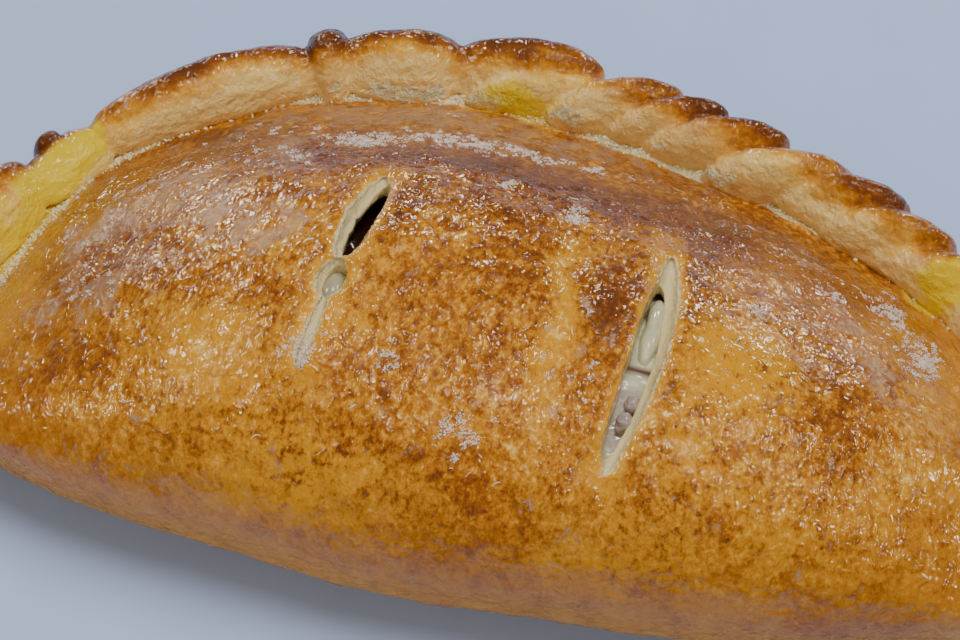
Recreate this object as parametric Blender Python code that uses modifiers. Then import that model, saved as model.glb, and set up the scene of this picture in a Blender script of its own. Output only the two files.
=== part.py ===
"""A baked calzone: a half-moon dough turnover with a rope-crimped rim, two slits and its filling.

The frame has X along the fold, -Y at the fold (front), +Y at the crimped rim (back) and +Z up.
Its origin is on the table, below the middle of the calzone. All sizes are in metres.
"""

import math

import bmesh
import bpy
import numpy as np
from mathutils import Matrix, Vector, noise

# Overall size of the half moon
LENGTH = 0.275
DEPTH = 0.156
HEIGHT = 0.048

# Plan outline: two superellipse halves that meet at the widest line, the back one leaning left
WIDEST_Y = -0.0405
BACK_POWER = 1.79
BACK_LEAN = -0.0255
FRONT_POWER = 1.94

# Dough body
CREST = Vector((-0.004, -0.012))
FRONT_BULGE_Z = 0.0195
BACK_EDGE_Z = 0.0085
SEAM_Z = 0.0108
# Foot of the dome: x, and its distance from the outline there
SEAM_INSETS = (
    (-0.118, 0.0195), (-0.112, 0.0168), (-0.105, 0.0136), (-0.090, 0.0154), (-0.067, 0.0166),
    (-0.044, 0.0192), (0.010, 0.0196), (0.036, 0.0178), (0.068, 0.0152), (0.105, 0.0154),
    (0.125, 0.0190),
)
SEAM_SHARES = (0.125, 0.875)
SLOPE_WIDTH = 0.083
SOLE_TRIM = 0.0006
TOP_DOUGH = 0.0042
BOTTOM_DOUGH = 0.0065
FRONT_DOUGH = 0.0085
BACK_DOUGH = 0.036

# Rope rim: its middle line, from the left tip over the back to the right tip
RIM_INSET = 0.0105
RIM_START = math.pi + 0.9
RIM_END = -0.9
RIM_Z = 0.0122
FOLD_WIDTH = 0.0090
FOLD_THICKNESS = 0.0098
FOLD_TILT = 0.0012
# How far a fold crosses the rope to count as fully slanted, and how much lower its start lies then
FULL_SLANT = 0.011
SLANT_SINK = 0.0016

# The rope's folds from left to right: start and end as shares of the rim's length, offsets from
# its middle line at both ends (inner side negative), and scales of width and of thickness.
ROPE_FOLDS = (
    (0.084, 0.136, -0.002, 0.000, 0.82, 0.80),
    (0.118, 0.178, -0.001, 0.001, 0.98, 0.92),
    (0.158, 0.230, 0.0015, 0.0040, 1.02, 1.04),
    (0.236, 0.252, 0.0066, 0.0066, 0.46, 0.78),
    (0.214, 0.272, 0.0006, 0.0026, 0.80, 0.64),
    (0.260, 0.386, 0.0024, 0.0014, 0.94, 1.06),
    (0.374, 0.398, 0.0010, 0.0020, 1.00, 1.18),
    (0.388, 0.454, 0.0006, 0.0006, 1.06, 1.12),
    (0.440, 0.520, 0.0000, 0.0050, 1.05, 1.10),
    (0.456, 0.530, -0.0080, 0.0030, 0.62, 0.86),
    (0.490, 0.900, 0.0005, 0.0020, 0.76, 0.70),
    (0.500, 0.560, -0.0074, 0.0078, 0.82, 1.05),
    (0.534, 0.584, -0.0056, 0.0082, 0.72, 1.06),
    (0.554, 0.616, -0.0060, 0.0084, 0.76, 1.10),
    (0.588, 0.652, -0.0068, 0.0078, 0.82, 1.10),
    (0.626, 0.682, -0.0010, 0.0084, 0.74, 1.10),
    (0.650, 0.710, -0.0042, 0.0070, 0.78, 1.08),
    (0.690, 0.750, -0.0030, 0.0070, 0.76, 1.08),
    (0.728, 0.792, -0.0040, 0.0060, 0.78, 1.04),
    (0.774, 0.836, -0.0036, 0.0052, 0.76, 1.06),
    (0.816, 0.876, -0.0034, 0.0038, 0.74, 0.98),
    (0.860, 0.916, 0.0000, 0.0012, 0.70, 0.82),
)

# Slits: back end, front end and sideways bow of the middle
SLITS = {
    "left": (Vector((-0.0315, 0.0081)), Vector((-0.0364, -0.0505)), 0.0003),
    "right": (Vector((0.0274, 0.0076)), Vector((0.0240, -0.0610)), 0.0030),
}
SLIT_HALF_WIDTH = 0.0036
SLIT_GROOVE = 0.0024
# Openings through the dough: slit, start and end share along it, half width
OPENINGS = (
    ("left", 0.09, 0.535, 0.0025),
    ("left", 0.565, 0.705, 0.0021),
    ("right", 0.265, 0.94, 0.0028),
)

# Filling: air above it, the pit below the left slit, the bumps that show, and the cheese strand
AIR = 0.0034
PIT = 0.0090
BUMPS = (("left", 0.635, 0.0024, 0.009), ("right", 0.62, 0.0028, 0.028))
STRAND = ("right", 0.30, 0.61, 0.0016, 0.0019)
FIT_GAP = 0.0008
HAM_GAP = 0.0004

# Diced ham that shows in the right slit: share along it, sideways offset, depth, half sizes
HAM = (
    (0.735, 0.0002, 0.0030, (0.0016, 0.0019, 0.0024)),
    (0.797, 0.0000, 0.0028, (0.0017, 0.0021, 0.0026)),
)

# Facets
DOUGH_VOXEL = 0.0021
DOUGH_FACE_SHARE = 0.130


def clear_scene():
    for item in list(bpy.data.objects):
        bpy.data.objects.remove(item, do_unlink=True)


def smoothstep(low, high, value):
    share = min(1.0, max(0.0, (value - low) / (high - low)))
    return share * share * (3.0 - 2.0 * share)


def blend(first, second, share):
    return first + (second - first) * share


# ---------------------------------------------------------------- plan outline


def outline(turn, inset=0.0):
    """A point of the plan outline; turn 0 is the right end and a quarter turn the back."""
    behind = math.sin(turn) > 0
    half_length = LENGTH / 2 - inset
    half_depth = (DEPTH / 2 - WIDEST_Y if behind else DEPTH / 2 + WIDEST_Y) - inset
    power = 2 / (BACK_POWER if behind else FRONT_POWER)
    x = half_length * math.copysign(abs(math.cos(turn)) ** power, math.cos(turn))
    x += BACK_LEAN * math.sin(turn) ** 2 if behind else 0.0
    y = WIDEST_Y + half_depth * math.copysign(abs(math.sin(turn)) ** power, math.sin(turn))
    return Vector((x, y))


def bearing_table():
    turns = np.linspace(-math.pi, math.pi, 1441)
    spokes = [outline(turn) - CREST for turn in turns]
    bearings = np.unwrap([math.atan2(spoke.y, spoke.x) for spoke in spokes])
    return turns, bearings, np.array([spoke.length for spoke in spokes])


TURNS, BEARINGS, SPOKES = bearing_table()


def spoke_at(bearing):
    """The outline's turn and distance in a direction seen from the crest."""
    held = (bearing - BEARINGS[0]) % (2 * math.pi) + BEARINGS[0]
    return float(np.interp(held, BEARINGS, TURNS)), float(np.interp(held, BEARINGS, SPOKES))


def backness(turn):
    """0 where the dough rolls over at the fold, 1 where it meets the crimped rim."""
    return smoothstep(-0.85, -0.15, math.sin(turn))


def rim_table():
    """Points along the middle of the rope by length, with their directions along it."""
    points = np.array([outline(turn, RIM_INSET) for turn in np.linspace(RIM_START, RIM_END, 721)])
    steps = np.linalg.norm(np.diff(points, axis=0), axis=1)
    lengths = np.concatenate([[0.0], np.cumsum(steps)])
    along = np.gradient(points, axis=0)
    along /= np.linalg.norm(along, axis=1)[:, None]
    return lengths / lengths[-1], points, along


RIM_SHARES, RIM_POINTS, RIM_ALONG = rim_table()
SEAM_POINTS = RIM_POINTS[(RIM_SHARES > SEAM_SHARES[0]) & (RIM_SHARES < SEAM_SHARES[1])]


# --------------------------------------------------------------- dough surface


def edge_height(turn):
    return blend(FRONT_BULGE_Z, BACK_EDGE_Z, backness(turn))


def swells(x, y):
    """Broad uneven rises and dips that baking leaves in the crust."""
    valley = math.exp(-(((x - 0.011) / 0.009) ** 2) - ((y + 0.032) / 0.034) ** 2)
    lumps = noise.noise(Vector((x * 26.0, y * 26.0, 0.7)))
    return 0.0012 * lumps - 0.0014 * valley


def top_height(x, y):
    """Height of the dough's top above the table at a plan point."""
    spoke = Vector((x, y)) - CREST
    turn, length = spoke_at(math.atan2(spoke.y, spoke.x))
    reach = min(1.0, spoke.length / length)
    back = backness(turn)
    edge = edge_height(turn)
    base = blend(edge, edge + (SEAM_Z - edge) * math.sqrt(1.0 - reach**8), back)
    from_seam = float(np.min(np.hypot(SEAM_POINTS[:, 0] - x, SEAM_POINTS[:, 1] - y)))
    foot = float(np.interp(x, *zip(*SEAM_INSETS))) - RIM_INSET
    climb = min(1.0, max(0.0, (from_seam - foot) / SLOPE_WIDTH))
    climb = math.sin(climb * math.pi / 2) ** 1.06
    roll = blend(math.sqrt(1.0 - reach**2.8), 1.0, back)
    return base + (HEIGHT - base) * climb * roll + swells(x, y) * climb * roll - SOLE_TRIM


def bottom_height(reach, turn):
    return edge_height(turn) * (1.0 - (1.0 - min(1.0, reach) ** 8) ** 0.35) - SOLE_TRIM


def add_ball(mesh, rings, segments, place):
    """Adds a sphere primitive and moves each of its points to place(unit direction)."""
    before = mesh.calc_volume(signed=True)
    made = bmesh.ops.create_uvsphere(mesh, u_segments=segments, v_segments=rings, radius=1.0)
    for vertex in made["verts"]:
        vertex.co = place(vertex.co.normalized())
    if mesh.calc_volume(signed=True) < before:
        faces = {face for vertex in made["verts"] for face in vertex.link_faces}
        bmesh.ops.reverse_faces(mesh, faces=sorted(faces, key=lambda face: face.index))


def body_point(unit):
    bearing = math.atan2(unit.y, unit.x)
    turn, length = spoke_at(bearing)
    length -= 0.6 * RIM_INSET * backness(turn)
    reach = math.sqrt(max(0.0, 1.0 - unit.z * unit.z))
    spot = CREST + Vector((math.cos(bearing), math.sin(bearing))) * length * reach
    z = top_height(spot.x, spot.y) if unit.z >= 0 else bottom_height(reach, turn)
    return Vector((spot.x, spot.y, z))


# -------------------------------------------------------------------- rope rim


def on_rim(share):
    """The rope's middle at a share of its length, and the outward direction there."""
    spot = [float(np.interp(share, RIM_SHARES, RIM_POINTS[:, axis])) for axis in (0, 1)]
    along = [float(np.interp(share, RIM_SHARES, RIM_ALONG[:, axis])) for axis in (0, 1)]
    return Vector(spot), Vector((-along[1], along[0])).normalized()


def fold_point(unit, fold):
    """One fold of the rope: a slanted fold starts slim and low and ends plump over the edge."""
    start, end, inner, outer, wide, thick = fold
    share = (unit.z + 1.0) / 2.0
    spot, outward = on_rim(blend(start, end, share))
    slant = min(1.0, max(0.0, (outer - inner) / FULL_SLANT))
    power = 0.75 * slant * (1.0 - smoothstep(0.10, 0.70, share)) - 0.35
    plump = math.sqrt(max(1e-9, 1.0 - unit.z * unit.z)) ** power * blend(0.86, 1.06, share)
    side = blend(inner, outer, share) + unit.x * FOLD_WIDTH * wide * plump
    sink = SLANT_SINK * slant * (1.0 - share) ** 2
    rise = unit.y * FOLD_THICKNESS * thick * plump + FOLD_TILT * (0.5 - share) - sink
    return Vector((*(spot + outward * side), RIM_Z - SOLE_TRIM + rise))


# ------------------------------------------------------------ slits and filling


def on_slit(slit, share, sideways=0.0):
    """A plan point along a slit, moved sideways to the right when positive."""
    start, end, bow = SLITS[slit]
    along = (end - start).normalized()
    bowed = sideways + bow * 4.0 * share * (1.0 - share)
    return start.lerp(end, share) + Vector((-along.y, along.x)) * bowed


def slit_cut_point(unit, slit, first, last, half_width, over, under, blunt=0.25):
    """A boat-shaped cut that follows the crust's top along part of a slit."""
    share = blend(first, last, (unit.z + 1.0) / 2.0)
    plump = math.sqrt(max(1e-9, 1.0 - unit.z * unit.z)) ** -blunt
    middle = on_slit(slit, share)
    spot = on_slit(slit, share, unit.x * half_width * plump)
    rise = unit.y * plump * (over if unit.y > 0 else under)
    return Vector((spot.x, spot.y, top_height(middle.x, middle.y) + rise))


def mound(x, y, spot, radius):
    return math.exp(-((x - spot.x) ** 2 + (y - spot.y) ** 2) / radius**2)


def filling_sink(x, y):
    """Air above the filling: a pit below the left slit's long opening, bumps where it shows."""
    pit = PIT * mound(x, y, on_slit("left", 0.30), 0.011)
    bumps = sum(rise * mound(x, y, on_slit(slit, share), radius) for slit, share, rise, radius in BUMPS)
    lumps = 0.0008 * noise.noise(Vector((x * 60.0, y * 60.0, 2.3)))
    return max(FIT_GAP, AIR + pit - bumps + lumps)


def hollow_point(unit, gap=0.0):
    """The hollow in the crust (no gap) or the filling inside it (with a gap and air above)."""
    bearing = math.atan2(unit.y, unit.x)
    turn, length = spoke_at(bearing)
    reach = math.sqrt(max(0.0, 1.0 - unit.z * unit.z))
    wall = blend(FRONT_DOUGH, BACK_DOUGH, backness(turn)) + gap
    spot = CREST + Vector((math.cos(bearing), math.sin(bearing))) * (length - wall) * reach
    if unit.z >= 0:
        far = top_height(spot.x, spot.y) - TOP_DOUGH - (filling_sink(spot.x, spot.y) if gap else 0.0)
    else:
        far = BOTTOM_DOUGH + gap
    middle = blend(0.016, 0.0105, backness(turn))
    closing = (1.0 - reach**4) ** 0.5
    return Vector((spot.x, spot.y, middle + (far - middle) * closing))


def strand_point(unit):
    """The cheese pulled up into the right slit's opening."""
    slit, first, last, half_width, depth = STRAND
    share = blend(first, last, (unit.z + 1.0) / 2.0)
    plump = math.sqrt(max(1e-9, 1.0 - unit.z * unit.z)) ** -0.3
    spot = on_slit(slit, share, unit.x * half_width * plump)
    middle = on_slit(slit, share)
    return Vector((spot.x, spot.y, top_height(middle.x, middle.y) - depth - 0.0035 + 0.0035 * unit.y * plump))


def ham_point(unit, piece, grow=0.0):
    """A rounded dice of ham; its pocket in the filling is the same shape grown a little."""
    share, sideways, depth, half_sizes = HAM[piece]
    spot = on_slit("right", share, sideways)
    top = top_height(spot.x, spot.y) - depth
    squared = [math.copysign(abs(part) ** 0.8, part) for part in unit]
    offset = Vector([part * (half + grow) for part, half in zip(squared, half_sizes)])
    return Vector((spot.x, spot.y, top - half_sizes[2])) + offset


# --------------------------------------------------------------------- objects


def material(name, colour, roughness):
    made = bpy.data.materials.new(name)
    made.use_nodes = True
    shader = made.node_tree.nodes["Principled BSDF"]
    shader.inputs["Base Color"].default_value = (*colour, 1.0)
    shader.inputs["Roughness"].default_value = roughness
    shader.inputs["Metallic"].default_value = 0.0
    return made


def object_of(name, collection, shapes, look=None):
    """An object from (rings, segments, place) balls; without a material it is a cutter."""
    mesh = bmesh.new()
    for rings, segments, place in shapes:
        add_ball(mesh, rings, segments, place)
    data = bpy.data.meshes.new(name)
    mesh.to_mesh(data)
    mesh.free()
    data.polygons.foreach_set("use_smooth", [True] * len(data.polygons))
    made = bpy.data.objects.new(name, data)
    collection.objects.link(made)
    if look:
        data.materials.append(look)
    else:
        made.hide_render = True
        made.display_type = "WIRE"
    return made


def combine(target, other, operation="DIFFERENCE"):
    cut = target.modifiers.new(f"{operation.lower()}_{other.name}", "BOOLEAN")
    cut.operation = operation
    cut.solver = "EXACT"
    cut.object = other


def merge_dough(crust):
    """Joins the overlapping body and folds into one skin."""
    skin = crust.modifiers.new("one_skin", "REMESH")
    skin.mode = "VOXEL"
    skin.voxel_size = DOUGH_VOXEL
    skin.use_smooth_shade = True


def thin_facets(crust):
    thin = crust.modifiers.new("fewer_facets", "DECIMATE")
    thin.ratio = DOUGH_FACE_SHARE


def table_cutter(collection):
    mesh = bmesh.new()
    size = Matrix.Diagonal((LENGTH * 1.2, DEPTH * 1.2, 0.010, 1.0))
    bmesh.ops.create_cube(mesh, size=1.0, matrix=Matrix.Translation((0.0, 0.0, -0.005)) @ size)
    data = bpy.data.meshes.new("table_cut")
    mesh.to_mesh(data)
    mesh.free()
    made = bpy.data.objects.new("table_cut", data)
    collection.objects.link(made)
    made.hide_render = True
    made.display_type = "WIRE"
    return made


def fit_to_size(objects, dough):
    """Scales and moves every shape by the little that brings the dough to its overall size."""
    spots = np.array([vertex.co for vertex in dough.data.vertices])
    low, high = spots.min(axis=0), spots.max(axis=0)
    low[2] = 0.0
    scale = np.array([LENGTH, DEPTH, HEIGHT]) / (high - low)
    middle = (low + high) / 2 * [1.0, 1.0, 0.0]
    change = Matrix.Diagonal((*scale, 1.0)) @ Matrix.Translation(-Vector(middle))
    for item in objects:
        item.data.transform(change)


def build():
    parts = bpy.data.collections.new("calzone")
    cutters = bpy.data.collections.new("calzone_cutters")
    for made in (parts, cutters):
        bpy.context.scene.collection.children.link(made)

    dough = [(36, 88, body_point)]
    dough += [(12, 14, lambda unit, fold=fold: fold_point(unit, fold)) for fold in ROPE_FOLDS]
    crust = object_of("crust", parts, dough, material("crust", (0.62, 0.33, 0.09), 0.38))
    cuts = [object_of("hollow_cut", cutters, [(20, 44, hollow_point)])]
    for slit in SLITS:
        groove = [(8, 22, lambda unit: slit_cut_point(
            unit, slit, 0.0, 1.0, SLIT_HALF_WIDTH, 0.006, SLIT_GROOVE, 0.0))]
        cuts.append(object_of(f"groove_{slit}", cutters, groove))
    for number, (slit, first, last, half_width) in enumerate(OPENINGS, 1):
        hole = [(8, 20, lambda unit: slit_cut_point(
            unit, slit, first, last, half_width, 0.010, 3.5 * TOP_DOUGH))]
        cuts.append(object_of(f"opening_{number}", cutters, hole))

    filling = object_of("filling", parts, [(20, 44, lambda unit: hollow_point(unit, FIT_GAP))],
                        material("filling", (0.80, 0.70, 0.50), 0.30))
    strand = object_of("cheese_strand", cutters, [(10, 16, strand_point)])
    combine(filling, strand, "UNION")
    ham_look = material("ham", (0.55, 0.33, 0.31), 0.35)
    diced, pockets = [], []
    for piece in range(len(HAM)):
        diced.append(object_of(f"ham_{piece + 1}", parts, [(8, 12, lambda unit: ham_point(unit, piece))],
                               ham_look))
        pockets.append(object_of(f"ham_pocket_{piece + 1}", cutters,
                                 [(8, 12, lambda unit: ham_point(unit, piece, HAM_GAP))]))
        combine(filling, pockets[-1])

    fit_to_size([crust, *cuts, filling, strand, *diced, *pockets], crust)
    merge_dough(crust)
    for cut in cuts:
        combine(crust, cut)
    thin_facets(crust)
    combine(crust, table_cutter(cutters))


clear_scene()
build()
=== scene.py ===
"""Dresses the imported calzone: a blistered golden crust with a rope-crimped rim, two slits that show
melted cheese and diced ham, and grated cheese scattered on top. It is laid out as an add-on and run
as a script. All sizes are in metres, with X along the fold, -Y at the front and +Z up.
"""

import itertools
import math

import bmesh
import bpy
import numpy as np
from bpy.props import FloatProperty, FloatVectorProperty, IntProperty, PointerProperty
from mathutils import Matrix, Vector, noise
from mathutils.bvhtree import BVHTree


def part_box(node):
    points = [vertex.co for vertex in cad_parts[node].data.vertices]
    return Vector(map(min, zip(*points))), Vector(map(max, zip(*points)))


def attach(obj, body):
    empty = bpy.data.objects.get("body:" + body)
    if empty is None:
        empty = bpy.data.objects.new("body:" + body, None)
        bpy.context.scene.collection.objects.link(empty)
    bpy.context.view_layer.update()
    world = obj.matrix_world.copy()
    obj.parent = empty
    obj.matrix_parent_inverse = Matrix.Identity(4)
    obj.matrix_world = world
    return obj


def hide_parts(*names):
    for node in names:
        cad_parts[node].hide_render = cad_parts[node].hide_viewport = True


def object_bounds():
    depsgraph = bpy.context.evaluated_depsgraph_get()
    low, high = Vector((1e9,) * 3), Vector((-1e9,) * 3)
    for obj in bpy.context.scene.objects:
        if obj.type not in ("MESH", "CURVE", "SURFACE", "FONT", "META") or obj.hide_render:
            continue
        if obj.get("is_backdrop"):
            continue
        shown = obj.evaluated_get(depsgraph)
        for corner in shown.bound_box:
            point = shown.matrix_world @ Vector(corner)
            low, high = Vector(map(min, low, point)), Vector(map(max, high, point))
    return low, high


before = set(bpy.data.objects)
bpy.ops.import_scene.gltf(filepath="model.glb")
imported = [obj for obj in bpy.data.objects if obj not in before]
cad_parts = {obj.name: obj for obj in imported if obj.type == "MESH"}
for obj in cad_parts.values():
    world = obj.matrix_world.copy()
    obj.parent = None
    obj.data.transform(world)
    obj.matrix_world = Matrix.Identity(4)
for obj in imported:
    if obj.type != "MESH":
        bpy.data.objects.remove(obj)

bl_info = {
    "name": "Calzone",
    "version": (1, 0, 0),
    "blender": (4, 5, 0),
    "location": "View3D > Sidebar > Calzone",
    "description": "Builds a baked calzone with a crimped rim, two slits and grated cheese",
    "category": "Add Mesh",
}

CAD_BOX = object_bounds()
CRUST_LOW, CRUST_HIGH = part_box("crust")
CRUST_SPAN = CRUST_HIGH - CRUST_LOW
MM = 0.001
# How the filling lies in the crust: gap to the dough, least cover under the crust's top, unevenness
FILLING_GAP = 0.8 * MM
FILLING_COVER = 0.5 * MM
FILLING_SWELL = 0.6 * MM
# Nothing is scattered on dough lower than this
CHEESE_FLOOR = 0.012
SHRED_FLOOR = 0.014

# The rope's folds from left to right: start and end as shares of the rim's length, offsets from
# its middle line at both ends (inner side negative), scales of width and of thickness, how brown
# the fold's top is, and how far its inner side runs out flat onto the flange.
ROPE_FOLDS = (
    (0.084, 0.136, -0.0020, 0.0000, 0.82, 0.80, 0.60, 0.8),
    (0.118, 0.178, -0.0010, 0.0010, 0.98, 0.92, 0.56, 0.8),
    (0.158, 0.230, 0.0015, 0.0040, 1.02, 1.04, 0.66, 0.5),
    (0.236, 0.252, 0.0066, 0.0066, 0.46, 0.78, 1.05, 0.0),
    (0.214, 0.272, 0.0006, 0.0026, 0.80, 0.64, 0.30, 0.4),
    (0.260, 0.386, 0.0024, 0.0014, 0.94, 1.06, 0.62, 0.2),
    (0.374, 0.398, 0.0010, 0.0020, 1.00, 1.18, 0.90, 0.6),
    (0.388, 0.454, 0.0006, 0.0006, 1.06, 1.12, 0.72, 0.6),
    (0.440, 0.520, 0.0000, 0.0050, 1.05, 1.10, 0.66, 0.7),
    (0.456, 0.530, -0.0080, 0.0030, 0.62, 0.86, 0.35, 0.3),
    (0.490, 0.900, 0.0005, 0.0020, 0.76, 0.70, 0.40, 0.2),
    (0.500, 0.560, -0.0074, 0.0078, 0.82, 1.05, 0.52, 0.2),
    (0.534, 0.584, -0.0056, 0.0082, 0.72, 1.06, 0.74, 0.1),
    (0.554, 0.616, -0.0060, 0.0084, 0.76, 1.10, 0.72, 0.1),
    (0.588, 0.652, -0.0068, 0.0078, 0.82, 1.10, 0.44, 0.1),
    (0.626, 0.682, -0.0010, 0.0084, 0.74, 1.10, 0.72, 0.1),
    (0.650, 0.710, -0.0042, 0.0070, 0.78, 1.08, 0.48, 0.2),
    (0.690, 0.750, -0.0030, 0.0070, 0.76, 1.08, 0.72, 0.2),
    (0.728, 0.792, -0.0040, 0.0060, 0.78, 1.04, 0.52, 0.3),
    (0.774, 0.836, -0.0036, 0.0052, 0.76, 1.06, 0.66, 0.4),
    (0.816, 0.876, -0.0034, 0.0038, 0.74, 0.98, 0.50, 0.5),
    (0.860, 0.916, 0.0000, 0.0012, 0.70, 0.82, 0.52, 0.6),
)

# Foot of the dome: x, and its distance from the outline there
SEAM_INSETS = (
    (-0.118, 0.0195), (-0.112, 0.0168), (-0.105, 0.0136), (-0.090, 0.0154), (-0.067, 0.0166),
    (-0.044, 0.0192), (0.010, 0.0196), (0.036, 0.0178), (0.068, 0.0152), (0.105, 0.0154),
    (0.125, 0.0190),
)

# Slits: back end, front end and sideways bow of the middle
SLITS = {
    "left": (Vector((-0.0315, 0.0081)), Vector((-0.0364, -0.0505)), 0.0003),
    "right": (Vector((0.0274, 0.0076)), Vector((0.0240, -0.0610)), 0.0030),
}
# Openings through the dough: slit, start and end share along it, half width, sideways offset
OPENINGS = (
    ("left", 0.09, 0.535, 0.0023, 0.0002),
    ("left", 0.565, 0.705, 0.0021, 0.0),
    ("right", 0.265, 0.94, 0.0023, -0.0008),
)
# Pale cut faces beside the openings: slit, start and end share, half width, sideways offset, depth
BEVELS = (
    ("left", 0.055, 0.555, 0.0031, -0.0008, 0.0030),
    ("left", 0.555, 0.725, 0.0026, -0.0006, 0.0026),
    ("left", 0.700, 1.000, 0.0010, -0.0001, 0.0008),
    ("right", 0.120, 0.990, 0.0029, 0.0007, 0.0034),
)
# Bumps of the filling that come up to the openings: slit, share, rise, radius
BUMPS = (("left", 0.635, 0.0024, 0.009), ("right", 0.62, 0.0028, 0.028))
# Cheese standing up in the openings: slit, start and end share, half width, depth of its middle,
# half thickness, waviness of its sides
LUMPS = (
    ("right", 0.295, 0.595, 0.0021, 0.0058, 0.0036, 0.08),
    ("left", 0.55, 0.72, 0.0034, 0.0066, 0.0038, 0.0),
)
# Diced ham in the right slit: share along it, sideways offset, depth, half sizes
HAM = (
    (0.735, 0.0002, 0.0030, (0.0016, 0.0019, 0.0024)),
    (0.797, 0.0000, 0.0028, (0.0017, 0.0021, 0.0026)),
)

# Places on the top in millimetres: x, y, reach in x and in y, strength
BROWN_SPOTS = (
    (-88, 33, 16, 5, 0.22), (-76, 22, 9, 12, 0.16), (-104, 12, 6, 14, 0.10), (-52, 12, 13, 7, 0.20),
    (-34, 17, 14, 6, 0.22), (-12, 18, 15, 7, 0.26), (10, 16, 13, 8, 0.24), (33, 20, 16, 9, 0.20),
    (52, 24, 15, 7, 0.12), (-26, -6, 4, 11, 0.24), (-38, -14, 3, 12, 0.12), (0, -14, 7, 14, 0.14),
    (20, -22, 6, 15, 0.34), (36, 6, 5, 14, 0.22), (35, -18, 3, 14, 0.12), (66, -26, 7, 19, 0.18),
    (-8, 2, 16, 8, 0.16), (-86, -24, 15, 13, 0.14), (-92, -52, 14, 7, 0.12), (-50, -34, 9, 7, 0.08),
    (2, -68, 10, 6, 0.14), (-24, -64, 14, 4, 0.06), (-60, -2, 14, 6, 0.10), (12, 44, 22, 7, 0.06),
    (-14, -38, 15, 10, 0.06), (24, 40, 12, 5, 0.08), (108, -30, 12, 18, 0.08), (62, 8, 9, 9, 0.08),
    (3, -36, 4, 5, 0.10), (-66, -28, 7, 5, 0.08), (86, -56, 9, 6, 0.06), (-108, -40, 7, 10, 0.06),
)
PALE_SPOTS = (
    (10, -14, 2.4, 10, 0.22), (11, -32, 2.6, 12, 0.24), (12, -50, 2.6, 11, 0.20), (46, -32, 9, 9, 0.12),
    (84, -34, 9, 18, 0.14), (-56, -48, 8, 8, 0.14), (-104, -32, 6, 14, 0.14), (54, -56, 12, 6, 0.08),
    (-46, -18, 9, 10, 0.08), (96, -10, 10, 12, 0.10), (-72, -62, 12, 5, 0.06), (118, -42, 9, 9, 0.08),
)
YELLOW_SPOTS = (
    (45, -30, 10, 13, 1.10), (11, -30, 4, 26, 0.70), (-56, -48, 11, 9, 0.70), (-30, -70, 26, 7, 0.55),
    (28, -72, 20, 6, 0.40), (-104, -44, 9, 14, 0.55), (62, -62, 16, 7, 0.40), (38, -54, 6, 10, 0.60),
    (-30, -30, 6, 26, 0.20), (94, -50, 15, 12, 0.40), (-76, -2, 9, 7, 0.25), (-46, -60, 14, 7, 0.35),
)
HAZE_SPOTS = (
    (-58, 44, 15, 8, 0.75), (-30, 48, 20, 8, 0.75), (0, 47, 18, 7, 0.60), (-82, 4, 11, 18, 0.50),
    (-94, -10, 7, 9, 0.60), (-84, -32, 13, 8, 0.50), (-56, 16, 7, 10, 0.60), (-66, -14, 8, 8, 0.35),
    (66, -6, 6, 10, 0.45), (56, 16, 8, 10, 0.35), (-52, -18, 8, 8, 0.40), (72, -24, 4, 12, 0.35),
    (30, 44, 14, 6, 0.25), (-16, 34, 26, 8, 0.35), (80, 12, 6, 8, 0.40), (16, -30, 3, 10, 0.35),
)
DUST_SPOTS = (
    (-43, 24, 9, 5, 1.0), (-24, 30, 11, 6, 1.0), (-6, 31, 9, 4, 0.8), (7, 32, 5, 4, 0.8),
    (-8, 11, 3, 2.6, 0.9), (8, 5, 3, 4, 1.0), (48, -12, 4, 3, 0.7), (64, 5, 2.6, 4, 0.7),
    (76, 8, 4, 8, 1.0), (84, -6, 5, 12, 1.0), (-3, -57, 5, 4, 0.8), (-21, -45, 3, 4, 0.6),
    (-37, -47, 3, 4, 0.9), (-58, 14, 5, 9, 0.5), (-94, -8, 5, 7, 0.5), (-88, -30, 9, 5, 0.4),
)
OIL_SPOTS = (
    (-107, 23, 3.4, 4, 1.3), (-110, 15, 4.2, 6, 1.4), (-113, 6, 4.5, 6, 1.3), (-116, -6, 5, 8, 1.2),
    (-119, -20, 4, 9, 0.9), (-14, 60, 9, 3.4, 1.0), (87, 21, 9, 4.5, 1.1), (104, 2, 5, 6, 0.6),
)
# Rope places in millimetres: x, y, reach, added brown
ROPE_SPOTS = (
    (-92, 47, 7, 0.40), (-66, 60, 7, 0.22), (-118, 18, 6, 0.16), (-20, 74, 9, 0.28), (-42, 70, 8, 0.10),
    (24, 71, 9, 0.20), (34, 62, 8, 0.16), (66, 50, 6, 0.14), (76, 38, 6, 0.12), (-80, 44, 7, -0.10),
    (-2, 66, 9, -0.10), (48, 50, 8, -0.10), (-104, 30, 9, -0.12),
)
# Grated cheese: x, y, reach in x and in y in millimetres, number of crumbs; a wide reach scatters
CHEESE_CLUMPS = (
    (-43, 24, 8, 4, 900), (-24, 29, 10, 4, 1000), (-6, 31, 8, 3, 460), (7, 32, 3, 3, 160),
    (-8, 11, 2.2, 1.8, 130), (8, 5, 2.2, 2.8, 220), (48, -12, 3, 2.4, 170), (64, 5, 1.8, 3, 110),
    (76, 8, 3, 6, 420), (84, -6, 4, 9, 760), (-3, -57, 4, 4, 330), (-21, -45, 2.4, 3, 120),
    (-37, -47, 2.4, 3.2, 330), (-58, 14, 6, 8, 260), (-94, -8, 5, 8, 200), (-88, -30, 9, 6, 220),
    (-66, 30, 10, 6, 160), (16, -40, 8, 8, 120), (0, -14, 60, 40, 260), (-60, 0, 40, 30, 120),
)
WIDE_REACH = 30

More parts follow.
